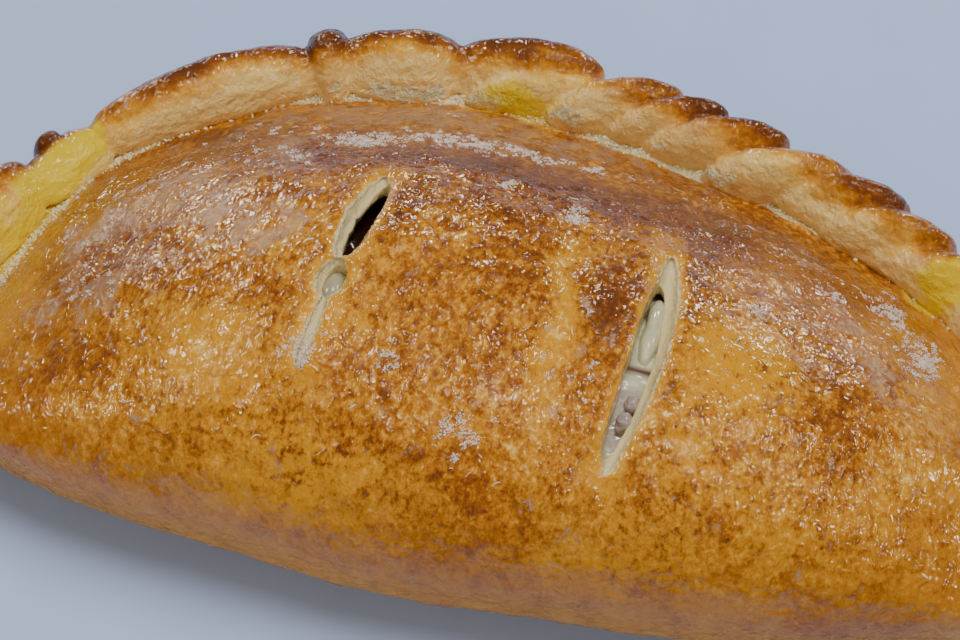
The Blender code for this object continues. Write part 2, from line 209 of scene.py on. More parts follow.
# Small lamps that glint on the oil
LAMPS = (
    (0.02, 0.12, 0.74), (0.28, 0.24, 0.64), (0.55, 0.40, 0.36), (-0.14, 0.64, 0.24), (-0.46, 0.38, 0.34),
    (-0.42, 0.10, 0.60), (-0.46, 0.56, 0.12), (0.22, 0.66, 0.16), (0.45, -0.10, 0.60),
    (-0.56, -0.08, 0.50),
)
LAMP_SIDES = (0.12, 0.035)
LIT_POINT = (0.0, 0.0, 0.02)
COOL, WARM, AMBER = (0.93, 0.97, 1.0), (1.0, 0.95, 0.86), (1.0, 0.84, 0.62)
TABLE_REACH = 1.5
TABLE_DROP = 0.0002


# ---------------------------------------------------------------------------- settings


def size(name, description, default):
    return FloatProperty(name=name, description=description, default=default, precision=5, unit="LENGTH")


def real(name, description, default):
    return FloatProperty(name=name, description=description, default=default, precision=3)


def amount(name, description, default):
    return IntProperty(name=name, description=description, default=default, min=1)


def colour(name, description, default):
    return FloatVectorProperty(name=name, description=description, default=default, subtype="COLOR",
                               size=3, min=0.0, max=1.0)


class CalzoneFormSettings(bpy.types.PropertyGroup):
    """Sizes of the half moon, its rim and its slits."""

    length: size("Length", "Overall length along the fold", CRUST_SPAN.x)
    depth: size("Depth", "Overall depth from the fold to the rim", CRUST_SPAN.y)
    height: size("Height", "Overall height", CRUST_SPAN.z)
    widest_y: size("Widest line", "Where the outline is longest", -0.0405)
    back_lean: size("Back lean", "How far the back of the outline leans left", -0.0255)
    back_power: real("Back roundness", "Power of the back half of the outline", 1.79)
    front_power: real("Front roundness", "Power of the front half of the outline", 1.94)
    crest_x: size("Crest X", "Highest point of the dome", -0.004)
    crest_y: size("Crest Y", "Highest point of the dome", -0.012)
    front_bulge_z: size("Front bulge", "Height where the front stands out furthest", 0.0195)
    back_edge_z: size("Back edge", "Middle height of the dough under the rope", 0.0085)
    seam_z: size("Seam height", "Height of the flange between the dome and the rope", 0.0108)
    slope_width: size("Slope width", "Run of the dome's back slope", 0.083)
    rim_inset: size("Rim inset", "Distance from the outline to the middle of the rope", 0.0105)
    rim_z: size("Rim height", "Height of the middle of the rope", 0.0122)
    fold_width: size("Fold width", "Half width of a rope fold", 0.0090)
    fold_thickness: size("Fold thickness", "Half thickness of a rope fold", 0.0098)
    top_dough: size("Top dough", "Thickness of the crust over the filling", 0.0042)
    bottom_dough: size("Bottom dough", "Thickness of the crust under the filling", 0.0065)
    front_dough: size("Front dough", "Thickness of the crust at the fold", 0.0085)
    back_dough: size("Back dough", "Solid dough from the rim inwards", 0.036)
    air: size("Air", "Air over the filling", 0.0034)
    pit: size("Pit", "How far the filling sinks under the left slit", 0.0090)


class CalzoneReliefSettings(bpy.types.PropertyGroup):
    """Sizes of what baking does to the surface."""

    lump_height: size("Lump height", "Height of the uneven swellings", 0.00036)
    lump_size: size("Lump size", "Distance between swellings", 0.0085)
    blister_count: amount("Blisters", "Number of raised blisters", 230)
    blister_height: size("Blister height", "Height of the largest blisters", 0.00048)
    crumb_height: size("Crumb height", "Roughness of the crumbly flange", 0.00042)
    lip_height: size("Lip height", "How far the slit's lips stand up", 0.0003)
    lip_dip: size("Lip dip", "How far the crust rolls down into a slit", 0.0008)
    rope_voxel: size("Rope detail", "Facet size of the rope", 0.00062)
    crease_gain: real("Crease depth", "How much deeper the rope's creases get", 0.9)
    wrinkle_height: size("Wrinkle height", "Depth of the wrinkles along the rope's folds", 0.00016)
    crumb_size: size("Crumb size", "Radius of a crumb of grated cheese", 0.00020)
    seam_crumbs: amount("Seam crumbs", "Number of crumbs in the seam", 2600)
    seam_crumb_size: size("Seam crumb size", "Radius of a crumb in the seam", 0.00042)
    shred_count: amount("Shreds", "Number of cheese shreds", 45)
    shred_length: size("Shred length", "Length of a shred of grated cheese", 0.0024)


class CalzoneColourSettings(bpy.types.PropertyGroup):
    """Colours of the baked dough, the cheese and the ham."""

    cream: colour("Cream", "Dough that stayed pale", (0.86, 0.53, 0.13))
    pale_gold: colour("Pale gold", "Lightly baked dough", (0.76, 0.36, 0.045))
    gold: colour("Gold", "Golden crust", (0.50, 0.175, 0.012))
    amber: colour("Amber", "Well baked crust", (0.32, 0.090, 0.009))
    russet: colour("Russet", "Red-brown crust", (0.20, 0.050, 0.008))
    umber: colour("Umber", "Darkest crust", (0.125, 0.034, 0.006))
    yellow: colour("Yellow", "Crust glazed with oil", (0.70, 0.29, 0.006))
    oil: colour("Oil", "Dough soaked with yellow oil", (0.80, 0.53, 0.002))
    haze: colour("Haze", "Thin film of melted grated cheese", (0.43, 0.25, 0.145))
    dust: colour("Dust", "Fine grated cheese", (0.94, 0.73, 0.58))
    crumb: colour("Crumb", "Cut dough in the slits", (0.94, 0.76, 0.40))
    cheese: colour("Cheese", "Melted cheese", (0.66, 0.62, 0.38))
    # Dark tone of the filling deep in the left slit, partly dark sauce and partly painted shade; it also
    # paints the shade in the right slit.
    sauce: colour("Sauce", "Dark filling deep in the left slit", (0.085, 0.022, 0.016))
    ham: colour("Ham", "Diced ham", (0.33, 0.24, 0.22))


class CalzoneStageSettings(bpy.types.PropertyGroup):
    """Camera, lights and table."""

    azimuth: FloatProperty(name="Azimuth", description="Camera's turn from the front",
                           default=math.radians(12.3), subtype="ANGLE")
    elevation: FloatProperty(name="Elevation", description="Camera's height angle",
                             default=math.radians(51.4), subtype="ANGLE")
    distance: size("Distance", "Camera's distance from what it looks at", 0.424)
    lens: real("Lens", "Focal length in millimetres", 74.4)
    target: FloatVectorProperty(name="Target", description="What the camera looks at",
                                default=(-0.0091, -0.0128, 0.020), subtype="TRANSLATION", unit="LENGTH")
    table: colour("Table", "Pale tabletop", (0.48, 0.59, 0.88))
    key_power: real("Key light", "Power of the large overhead light", 6.4)
    lamp_power: real("Lamps", "Power of each small lamp", 0.60)
    sky: real("Sky", "Strength of the surrounding light", 0.12)


# ---------------------------------------------------------------------- numbers and noise


def smoothstep(low, high, value):
    part = np.clip((value - low) / (high - low), 0.0, 1.0)
    return part * part * (3.0 - 2.0 * part)


def blend(first, second, part):
    return first + (second - first) * part


def noise_at(points, spacing, seed=0):
    """Smooth noise from about -1 to 1 with features of the given spacing, one value a point."""
    spots = np.asarray(points, float) / spacing + seed * 17.31
    cells = np.floor(spots).astype(np.int64)
    inside = spots - cells
    fade = inside**3 * (inside * (inside * 6.0 - 15.0) + 10.0)
    total = np.zeros(len(spots))
    for corner in itertools.product((0, 1), repeat=3):
        near = cells + corner
        key = (near[:, 0] * 73856093) ^ (near[:, 1] * 19349663) ^ (near[:, 2] * 83492791)
        key = ((key ^ (key >> 13)) & 0xFFFFFFFF) * 1274126177
        key ^= key >> 16
        pull = np.stack([((key >> shift) & 1023) / 511.5 - 1.0 for shift in (0, 10, 20)], axis=1)
        weight = np.prod(np.where(np.array(corner, bool), fade, 1.0 - fade), axis=1)
        total += weight * (pull * (inside - corner)).sum(axis=1)
    return total * 1.5


def layered_noise(points, spacing, layers, seed=0):
    """Noise summed over ever finer layers, each with half the height of the one before."""
    return sum(noise_at(points, spacing / 2**layer, seed + layer) / 2**layer for layer in range(layers))


def spots_at(x, y, spots):
    """Sum of soft spots given in millimetres as x, y, reach in x and in y, strength."""
    total = np.zeros(len(x))
    for spot_x, spot_y, reach_x, reach_y, strength in spots:
        far = ((x - spot_x * MM) / (reach_x * MM)) ** 2 + ((y - spot_y * MM) / (reach_y * MM)) ** 2
        total += strength * np.exp(-far)
    return total


# ---------------------------------------------------------------------- the calzone's form


class Form:
    """Shape of the calzone, worked out from its sizes. The frame's box fits it in fitted()."""

    def __init__(self, sizes):
        self.sizes = sizes
        self.turns = np.linspace(-math.pi, math.pi, 1441)
        x, y = self.outline(self.turns)
        x, y = x - sizes.crest_x, y - sizes.crest_y
        self.bearings = np.unwrap(np.arctan2(y, x))
        self.spokes = np.hypot(x, y)
        self.make_rim()
        self.fit()

    def outline(self, turn, inset=0.0):
        """Points of the plan outline; turn 0 is the right end and a quarter turn the back."""
        sizes = self.sizes
        behind = np.sin(turn) > 0
        half_length = sizes.length / 2 - inset
        half_depth = np.where(behind, sizes.depth / 2 - sizes.widest_y, sizes.depth / 2 + sizes.widest_y)
        power = 2 / np.where(behind, sizes.back_power, sizes.front_power)
        x = half_length * np.copysign(np.abs(np.cos(turn)) ** power, np.cos(turn))
        x = x + np.where(behind, sizes.back_lean * np.sin(turn) ** 2, 0.0)
        y = np.copysign(np.abs(np.sin(turn)) ** power, np.sin(turn)) * (half_depth - inset)
        return x, y + sizes.widest_y

    def spoke_at(self, bearing):
        """The outline's turn and distance in directions seen from the crest."""
        held = (bearing - self.bearings[0]) % (2 * math.pi) + self.bearings[0]
        return np.interp(held, self.bearings, self.turns), np.interp(held, self.bearings, self.spokes)

    def make_rim(self):
        """Points along the middle of the rope with their shares of its length."""
        x, y = self.outline(np.linspace(math.pi + 0.9, -0.9, 721), self.sizes.rim_inset)
        self.rim = np.stack([x, y], axis=1)
        lengths = np.concatenate([[0.0], np.cumsum(np.linalg.norm(np.diff(self.rim, axis=0), axis=1))])
        self.rim_shares = lengths / lengths[-1]
        self.along = np.gradient(self.rim, axis=0)
        self.along /= np.linalg.norm(self.along, axis=1)[:, None]
        self.seam = self.rim[(self.rim_shares > 0.125) & (self.rim_shares < 0.875)][::3]

    def backness(self, turn):
        """0 where the dough rolls over at the fold, 1 where it meets the crimped rim."""
        return smoothstep(-0.85, -0.15, np.sin(turn))

    def edge_height(self, turn):
        return blend(self.sizes.front_bulge_z, self.sizes.back_edge_z, self.backness(turn))

    def from_seam(self, x, y):
        """Distance from the rope's middle line."""
        far = np.empty(len(x))
        for start in range(0, len(x), 8192):
            part = slice(start, start + 8192)
            across = np.hypot(x[part, None] - self.seam[:, 0], y[part, None] - self.seam[:, 1])
            far[part] = across.min(axis=1)
        return far

    def foot_inset(self, x):
        """Distance from the outline to the foot of the dome."""
        return np.interp(x, *zip(*SEAM_INSETS))

    def from_foot(self, x, y):
        """Distance inwards from the foot of the dome, negative on the flange."""
        return self.from_seam(x, y) - self.foot_inset(x) + self.sizes.rim_inset

    def top_height(self, x, y):
        sizes = self.sizes
        across, up = x - sizes.crest_x, y - sizes.crest_y
        turn, length = self.spoke_at(np.arctan2(up, across))
        reach = np.minimum(1.0, np.hypot(across, up) / length)
        back, edge = self.backness(turn), self.edge_height(turn)
        base = blend(edge, edge + (sizes.seam_z - edge) * np.sqrt(1.0 - reach**8), back)
        climb = self.from_foot(x, y) / sizes.slope_width
        climb = np.sin(np.clip(climb, 0.0, 1.0) * math.pi / 2) ** 1.06
        roll = blend(np.sqrt(1.0 - reach**2.8), 1.0, back)
        valley = np.exp(-(((x - 0.011) / 0.009) ** 2) - ((y + 0.032) / 0.034) ** 2)
        lumps = [noise.noise((spot_x * 26.0, spot_y * 26.0, 0.7)) for spot_x, spot_y in zip(x, y)]
        swells = 0.0012 * np.array(lumps) - 0.0014 * valley
        return base + (sizes.height - base + swells) * climb * roll

    def bottom_height(self, reach, turn):
        return self.edge_height(turn) * (1.0 - (1.0 - np.minimum(1.0, reach) ** 8) ** 0.35)

    def body_spots(self, bearing, reach):
        """Plan points of the dough body."""
        turn, length = self.spoke_at(bearing)
        length = (length - 0.6 * self.sizes.rim_inset * self.backness(turn)) * reach
        x = self.sizes.crest_x + np.cos(bearing) * length
        return x, self.sizes.crest_y + np.sin(bearing) * length

    def body(self, bearing, reach, above):
        x, y = self.body_spots(bearing, reach)
        bottom = self.bottom_height(reach, self.spoke_at(bearing)[0])
        return np.stack([x, y, np.where(above, self.top_height(x, y), bottom)], axis=1)

    def on_rim(self, part):
        """The rope's middle at shares of its length, and the outward directions there."""
        spot = np.stack([np.interp(part, self.rim_shares, line) for line in self.rim.T], axis=1)
        along = np.stack([np.interp(part, self.rim_shares, line) for line in self.along.T], axis=1)
        outward = np.stack([-along[:, 1], along[:, 0]], axis=1)
        return spot, outward / np.linalg.norm(outward, axis=1)[:, None]

    def near_rim(self, x, y):
        """The nearest share of the rope's length and the offset from its middle, outward positive."""
        nearest = np.empty(len(x), int)
        for start in range(0, len(x), 8192):
            part = slice(start, start + 8192)
            far = np.hypot(x[part, None] - self.rim[::2, 0], y[part, None] - self.rim[::2, 1])
            nearest[part] = far.argmin(axis=1) * 2
        away = np.stack([x, y], axis=1) - self.rim[nearest]
        along = self.along[nearest]
        return self.rim_shares[nearest], away[:, 1] * along[:, 0] - away[:, 0] * along[:, 1]

    def fold(self, unit, fold):
        """One fold of the rope: a slim start low on the inner side and a plump end over the edge."""
        start, end, inner, outer, wide, thick, _, apron = fold
        part = (unit[:, 2] + 1.0) / 2.0
        spot, outward = self.on_rim(blend(start, end, part))
        slim = min(1.0, max(0.0, (outer - inner) / (11.0 * MM)))
        power = 0.75 * slim * (1.0 - smoothstep(0.10, 0.70, part)) - 0.35
        plump = np.sqrt(np.maximum(1e-9, 1.0 - unit[:, 2] ** 2)) ** power * blend(0.86, 1.06, part)
        inside = np.maximum(0.0, -unit[:, 0])
        across = unit[:, 0] * np.where(unit[:, 0] < 0, 1.0 + 0.34 * apron, 1.0 - 0.22 * apron)
        side = blend(inner, outer, part) + 2.4 * MM * apron
        side = side + across * self.sizes.fold_width * wide * plump
        flatter = np.abs(unit[:, 1]) ** (0.9 * apron * smoothstep(0.0, 0.5, inside))
        rise = unit[:, 1] * flatter * self.sizes.fold_thickness * thick * plump + 0.0012 * (0.5 - part)
        rise -= 2.2 * MM * apron * inside**2 + 1.6 * MM * slim * (1.0 - part) ** 2
        plan = spot + outward * side[:, None]
        return np.concatenate([plan, (self.sizes.rim_z + rise)[:, None]], axis=1)

    def slit_place(self, x, y, slit):
        """Share along a slit and signed distance from its middle line, right positive."""
        start, end, bow = SLITS[slit]
        line = end - start
        along = line.normalized()
        part = ((x - start.x) * along.x + (y - start.y) * along.y) / line.length
        side = (x - start.x) * -along.y + (y - start.y) * along.x
        return part, side - bow * 4.0 * part * (1.0 - part)

    def on_slit(self, slit, part, sideways=0.0):
        """Plan points along a slit, moved sideways to the right when positive."""
        start, end, bow = SLITS[slit]
        along = (end - start).normalized()
        bowed = sideways + bow * 4.0 * part * (1.0 - part)
        x = blend(start.x, end.x, part) - along.y * bowed
        return x, blend(start.y, end.y, part) + along.x * bowed

    def filling_sink(self, x, y):
        """Air above the filling: a pit below the left slit's long opening, bumps where it shows."""
        pit_x, pit_y = self.on_slit("left", 0.30)
        sink = self.sizes.pit * np.exp(-((x - pit_x) ** 2 + (y - pit_y) ** 2) / 0.011**2)
        for slit, part, rise, radius in BUMPS:
            bump_x, bump_y = self.on_slit(slit, part)
            sink -= rise * np.exp(-((x - bump_x) ** 2 + (y - bump_y) ** 2) / radius**2)
        return np.maximum(0.0008, self.sizes.air + sink)

    def hollow(self, bearing, reach, above, gap=0.0):
        """The hollow in the crust (no gap) or the filling inside it (with a gap and air above)."""
        sizes = self.sizes
        turn, length = self.spoke_at(bearing)
        back = self.backness(turn)
        length = (length - blend(sizes.front_dough, sizes.back_dough, back) - gap) * reach
        x, y = sizes.crest_x + np.cos(bearing) * length, sizes.crest_y + np.sin(bearing) * length
        top = self.top_height(x, y) - sizes.top_dough - (self.filling_sink(x, y) if gap else 0.0)
        far = np.where(above, top, sizes.bottom_dough + gap)
        middle = blend(0.016, 0.0105, back)
        z = middle + (far - middle) * (1.0 - reach**4) ** 0.5
        return np.stack([x, y, z], axis=1)

    def filling(self, bearing, reach, above):
        return self.hollow(bearing, reach, above, FILLING_GAP)

    def fit(self):
        """Finds the scale and shift that bring the dough into the frame's box."""
        bearing, reach, above = polar_ball(88, np.linspace(0.05, 1.0, 40), np.linspace(1.0, 0.2, 10))
        folds = [self.fold(ball_directions(14, 20), fold) for fold in ROPE_FOLDS]
        spots = np.concatenate([self.body(bearing, reach, above), *folds])
        low, high = spots.min(axis=0), spots.max(axis=0)
        low[2] = 0.0
        self.scale = np.array(CRUST_SPAN) / (high - low)
        self.shift = np.array(CRUST_LOW) - low * self.scale

    def fitted(self, points):
        return points * self.scale + self.shift


# ------------------------------------------------------------------------- mesh helpers


def polar_ball(bearings, top, bottom):
    """Bearing, reach and upper side of every ring point of a ball seen from above."""
    reach = np.repeat(np.concatenate([top, bottom[1:]]), bearings)
    above = np.repeat(np.arange(len(top) + len(bottom) - 1) < len(top), bearings)
    around = np.linspace(-math.pi, math.pi, bearings, endpoint=False)
    return np.tile(around, len(top) + len(bottom) - 1), reach, above


def ball_directions(rings, segments):
    polar = np.repeat(np.linspace(0.0, math.pi, rings + 1), segments)
    around = np.tile(np.linspace(0.0, 2 * math.pi, segments, endpoint=False), rings + 1)
    wide = np.sin(polar)
    return np.stack([wide * np.cos(around), wide * np.sin(around), np.cos(polar)], axis=1)


def ring_faces(rings, around, first_pole, last_pole):
    """Faces of stacked rings of points, closed by two pole points, facing outward from the top down."""
    faces = []
    for ring in range(rings - 1):
        for step in range(around):
            following = (step + 1) % around
            low, high = ring * around, (ring + 1) * around
            faces.append((low + step, high + step, high + following, low + following))
    last = (rings - 1) * around
    for step in range(around):
        following = (step + 1) % around
        faces.append((first_pole, step, following))
        faces.append((last_pole, last + following, last + step))
    return faces


def mesh_from(name, points, faces):
    mesh = bpy.data.meshes.new(name)
    mesh.from_pydata([tuple(point) for point in points], [], faces)
    mesh.polygons.foreach_set("use_smooth", np.ones(len(mesh.polygons), bool))
    mesh.update()
    return mesh


def points_of(mesh):
    points = np.empty(len(mesh.vertices) * 3)
    mesh.vertices.foreach_get("co", points)
    return points.reshape(-1, 3)


def normals_of(mesh):
    normals = np.empty(len(mesh.vertices) * 3)
    mesh.vertex_normals.foreach_get("vector", normals)
    return normals.reshape(-1, 3)


def set_points(mesh, points):
    mesh.vertices.foreach_set("co", np.ascontiguousarray(points, np.float32).ravel())
    mesh.update()


def set_values(mesh, name, values):
    """Stores a value between 0 and 1 at each point for a material to read."""
    attribute = mesh.attributes.new(name, "FLOAT", "POINT")
    attribute.data.foreach_set("value", np.clip(values, 0.0, 1.0).astype(np.float32))


def piece_of(name, mesh, material=None):
    piece = bpy.data.objects.new(name, mesh)
    bpy.context.scene.collection.objects.link(piece)
    if material:
        mesh.materials.append(material)
    return piece


def final_mesh(piece):
    """The piece's mesh with its modifiers worked in; the piece keeps it and loses them."""
    evaluated = piece.evaluated_get(bpy.context.evaluated_depsgraph_get())
    mesh = bpy.data.meshes.new_from_object(evaluated)
    piece.modifiers.clear()
    old = piece.data
    piece.data = mesh
    bpy.data.meshes.remove(old)
    mesh.name = piece.name
    return mesh


def combined(piece, others, operation):
    """Cuts the other shapes out of a piece, or joins them to it, and deletes them."""
    for other in others:
        step = piece.modifiers.new(other.name, "BOOLEAN")
        step.operation = operation
        step.solver = "EXACT"
        step.object = other
    mesh = final_mesh(piece)
    for other in others:
        bpy.data.objects.remove(other, do_unlink=True)
    return mesh


def finish_piece(piece, slot, *nodes):
    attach(piece, "root")
    if nodes:
        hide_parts(*nodes)
    return piece


# ------------------------------------------------------------------------ geometry


def slit_edges(part, side, slit):
    """Distance outside a slit's opened outline, and how wide it is open, at places along it."""
    away = np.full(len(part), 1.0)
    wide = np.zeros(len(part))
    for other, first, last, half_width, offset, _ in BEVELS:
        if other == slit:
            half = half_width * bevel_taper(part, first, last)
            inside = (part > first) & (part < last)
            away = np.where(inside, np.minimum(away, np.abs(side - offset) - half), away)
            wide = np.maximum(wide, half)
    return away, wide


def bevel_taper(part, first, last):
    """Share of a cut's full width along it: a slim start and end."""
    middle = np.clip((part - first) / (last - first), 0.0, 1.0) * 2.0 - 1.0
    return np.maximum(0.0, 1.0 - middle**2) ** 0.60


def slit_relief(form, x, y, relief):
    """Height change around the slits: the crust rolls down into them from a soft raised lip."""
    change = np.zeros(len(x))
    for slit in SLITS:
        part, side = form.slit_place(x, y, slit)
        away, wide = slit_edges(part, side, slit)
        away = np.maximum(0.0, away)
        dip = -relief.lip_dip * smoothstep(0.0, 1.6 * MM, wide) * np.exp(-((away / (1.3 * MM)) ** 2))
        lip = relief.lip_height * np.exp(-(((away - 2.4 * MM) / (1.3 * MM)) ** 2))
        change += dip + lip
    return change


def slit_paleness(form, points):
    """How much bare dough shows, 1 in the cut, and how much of its pale golden border."""
    bare = np.zeros(len(points))
    edge = np.zeros(len(points))
    wobble = layered_noise(points, 2.6 * MM, 3, 5) * 0.40 * MM
    for slit in SLITS:
        part, side = form.slit_place(points[:, 0], points[:, 1], slit)
        away, _ = slit_edges(part, side, slit)
        bare = np.maximum(bare, 1.0 - smoothstep(-0.1 * MM, 0.9 * MM, away + wobble))
        edge = np.maximum(edge, 1.0 - smoothstep(0.4 * MM, 2.4 * MM, away + wobble))
    return bare, edge


def refine_near_slits(mesh, form, reach):
    """Splits the top's faces around the slits so that their lips stay round."""
    points = points_of(mesh)
    near = np.zeros(len(points), bool)
    for slit in SLITS:
        part, side = form.slit_place(points[:, 0], points[:, 1], slit)
        near |= (part > -0.06) & (part < 1.06) & (np.abs(side) < reach)
    near &= points[:, 2] > form.sizes.height * 0.5
    fine = bmesh.new()
    fine.from_mesh(mesh)
    fine.verts.ensure_lookup_table()
    edges = [edge for edge in fine.edges if near[edge.verts[0].index] and near[edge.verts[1].index]]
    bmesh.ops.subdivide_edges(fine, edges=edges, cuts=1, use_grid_fill=True)
    fine.to_mesh(mesh)
    fine.free()
    mesh.polygons.foreach_set("use_smooth", np.ones(len(mesh.polygons), bool))
    points = points_of(mesh)
    new = np.arange(len(points)) >= len(near)
    points[new, 2] = form.top_height(points[new, 0], points[new, 1])
    set_points(mesh, points)


def blister_places(form, count):
    """Seeded blisters on the top: x, y, radius and height share."""
    chance = np.random.default_rng(11)
    bearing = chance.uniform(-math.pi, math.pi, count)
    reach = np.sqrt(chance.uniform(0.0, 0.9, count))
    x, y = form.body_spots(bearing, reach)
    radius, high = chance.uniform(1.6, 4.4, count) * MM, chance.uniform(0.35, 1.0, count)
    return np.stack([x, y, radius, high], axis=1)


def dough_relief(form, points, relief):
    """How far baking lifts or dents the dough at each point."""
    x, y, z = points.T
    top = smoothstep(0.4, 0.9, z / np.maximum(0.006, form.top_height(x, y)))
    flange = 1.0 - smoothstep(-2.0 * MM, 1.5 * MM, form.from_foot(x, y))
    lift = relief.lump_height * layered_noise(points, relief.lump_size, 3, 1)
    blisters = np.zeros(len(x))
    for spot_x, spot_y, radius, high in blister_places(form, relief.blister_count):
        near = (np.abs(x - spot_x) < 2 * radius) & (np.abs(y - spot_y) < 2 * radius)
        far = ((x[near] - spot_x) ** 2 + (y[near] - spot_y) ** 2) / radius**2
        blisters[near] += high * np.exp(-(far**1.4))
    lift += relief.blister_height * blisters * top * (1.0 - flange)
    crumbly = np.abs(layered_noise(points, 3.4 * MM, 3, 7)) + 0.6 * noise_at(points, 1.6 * MM, 9)
    lift += relief.crumb_height * crumbly * flange * top
    front = smoothstep(-0.055, -0.072, y) * (1.0 - smoothstep(0.030, 0.040, z))
    dents = spots_at(x, z, ((-48, 16, 16, 12, -1.5), (-18, 12, 14, 12, 0.8), (22, 14, 18, 12, -1.3),
                            (56, 15, 15, 12, 0.7), (84, 14, 16, 12, -1.0), (-84, 15, 14, 12, 0.5)))
    flap = np.exp(-(((x + 0.0047) / 0.004) ** 2)) * smoothstep(0.010, 0.001, z)
    lift += front * (dents * MM * 0.55 + 1.2 * MM * flap)
    fold_line = smoothstep(-1.0, 1.0, np.sin(x * 420.0 + 1.4 * np.sin(x * 95.0)))
    lift += front * 0.22 * MM * fold_line * noise_at(points, 12 * MM, 15)
    return lift


def crust_values(form, points, mesh):
    """Stores what baking did at each point of the dough body, and how deep each cut wall lies, which the
    material turns into painted shade.
    """
    x, y, z = points.T
    warp = np.stack([noise_at(points, 13 * MM, 21), noise_at(points, 13 * MM, 23)], axis=1) * 3.4 * MM
    warp += np.stack([noise_at(points, 4 * MM, 25), noise_at(points, 4 * MM, 27)], axis=1) * 1.3 * MM
    warped_x, warped_y = x + warp[:, 0], y + warp[:, 1]
    top = form.top_height(x, y)
    sunk = smoothstep(0.9 * MM, 2.4 * MM, top - z) * (np.abs(x) < 0.045) * (y < 0.012) * (z > 0.030)
    foot = form.from_foot(x, y)
    flange = 1.0 - smoothstep(-0.7 * MM, 1.0 * MM, foot + 1.1 * MM * noise_at(points, 7 * MM, 31))
    flange *= form.backness(form.spoke_at(np.arctan2(y - form.sizes.crest_y, x - form.sizes.crest_x))[0])
    slit, edge = slit_paleness(form, points)
    slit = np.maximum(slit, sunk)
    halo = slit_halo(form, points)
    brown = 0.47 + spots_at(warped_x, warped_y, BROWN_SPOTS) - spots_at(warped_x, warped_y, PALE_SPOTS)
    brown += 0.075 * layered_noise(points, 11 * MM, 2, 33)
    brown += 0.075 * layered_noise(points, 3.6 * MM, 3, 35)
    brown += 0.06 * np.exp(-(((foot - 2.5 * MM) / (2.2 * MM)) ** 2)) * (1.0 - flange)
    behind = smoothstep(14 * MM, 25 * MM, warped_y) * (1.0 - flange)
    brown += 0.04 * behind + 0.08 * smoothstep(-2 * MM, 12 * MM, warped_y)
    brown -= 0.20 * smoothstep(0.022, 0.004, z)
    brown -= 0.10 * halo + 0.20 * edge
    set_values(mesh, "browning", brown)
    high = np.maximum(smoothstep(0.022, 0.040, z), behind)
    set_values(mesh, "mottle", blend(0.30, 1.0, high) * (1.0 - 0.5 * halo))
    set_values(mesh, "bare", np.maximum(flange, slit))
    set_values(mesh, "dry", 0.75 * behind)
    # How far below the top each cut wall lies: the material darkens the cut walls with it as painted
    # shade, and also makes them glossier and less pocked.
    set_values(mesh, "cut", slit * smoothstep(-1.0 * MM, 3.0 * MM, top - z))
    yellow = spots_at(warped_x, warped_y, YELLOW_SPOTS) + 0.22 * layered_noise(points, 9 * MM, 2, 41)
    set_values(mesh, "yellow", yellow + 0.35 * halo + 0.40 * edge + 0.10)
    haze = spots_at(warped_x, warped_y, HAZE_SPOTS)
    haze = haze * (1.0 + 0.9 * layered_noise(points, 6 * MM, 3, 43))
    haze += 0.03 * smoothstep(0.028, 0.040, z) + 0.15 * layered_noise(points, 6 * MM, 3, 49)
    set_values(mesh, "haze", haze * (1.0 - slit) * (1.0 - halo))
    dust = spots_at(warped_x, warped_y, DUST_SPOTS)
    set_values(mesh, "dust", dust * (0.8 + 0.9 * layered_noise(points, 4 * MM, 3, 45)) * (1.0 - sunk))
    oil = spots_at(warped_x, warped_y, OIL_SPOTS)
    set_values(mesh, "oil", oil * (1.0 + 0.8 * layered_noise(points, 8 * MM, 3, 47)))


def slit_halo(form, points):
    """A band of smooth golden crust around each slit."""
    x, y = points[:, 0], points[:, 1]
    halo = np.zeros(len(x))
    for slit in SLITS:
        part, side = form.slit_place(x, y, slit)
        ends = smoothstep(-0.10, 0.02, part) * (1.0 - smoothstep(0.98, 1.10, part))
        away = np.abs(side) + 0.8 * MM * noise_at(points, 5 * MM, 51)
        halo = np.maximum(halo, ends * (1.0 - smoothstep(2.6 * MM, 5.2 * MM, away)))
    return halo


def opening_cutters(form):
    """Boat-shaped cuts through the crust, and the shallow cuts beside them that show pale dough."""
    cutters = []
    for number, place in enumerate(OPENINGS):
        name = f"opening_{number + 1}"
        heights = (10 * MM, 15 * MM)
        cutters.append(slit_cutter(form, name, place, heights, -0.16, (0.16, 5 * MM, 61 + number)))
    for number, (*place, depth) in enumerate(BEVELS):
        name = f"bevel_{number + 1}"
        heights = (5 * MM, depth)
        cutters.append(slit_cutter(form, name, place, heights, 0.2, (0.14, 4 * MM, 65 + number)))
    return cutters


def slit_cutter(form, name, place, heights, bluntness, waves):
    """A cut along part of a slit, so far above and below the crust, with uneven sides.

    place is the slit, the cut's start and end share along it, its half width and its offset;
    waves are the height, spacing and seed of its unevenness."""
    slit, first, last, half_width, offset = place
    above, below = heights
    height, spacing, seed = waves
    unit = ball_directions(60, 36)
    part = blend(first, last, (unit[:, 2] + 1.0) / 2.0)
    plump = np.sqrt(np.maximum(1e-9, 1.0 - unit[:, 2] ** 2)) ** bluntness
    spots = np.stack([part * 0.06, unit[:, 0] * 0.02, part * 0], axis=1)
    uneven = 1.0 + height * noise_at(spots, spacing, seed)
    x, y = form.on_slit(slit, part, offset + unit[:, 0] * half_width * plump * uneven)
    rise = unit[:, 1] * plump * np.where(unit[:, 1] > 0, above, below)
    z = form.top_height(*form.on_slit(slit, part)) - 0.6 * MM + rise
    return piece_of(name, ball_mesh(name, np.stack([x, y, z], axis=1), 60, 36))


def ball_mesh(name, points, rings, segments):
    """A closed ball from ball_directions() points moved to their places."""
    inner = points[segments:-segments]
    ends = np.stack([points[0], points[-1]])
    faces = ring_faces(rings - 1, segments, len(inner), len(inner) + 1)
    mesh = mesh_from(name, np.concatenate([inner, ends]), faces)
    return outward(mesh)


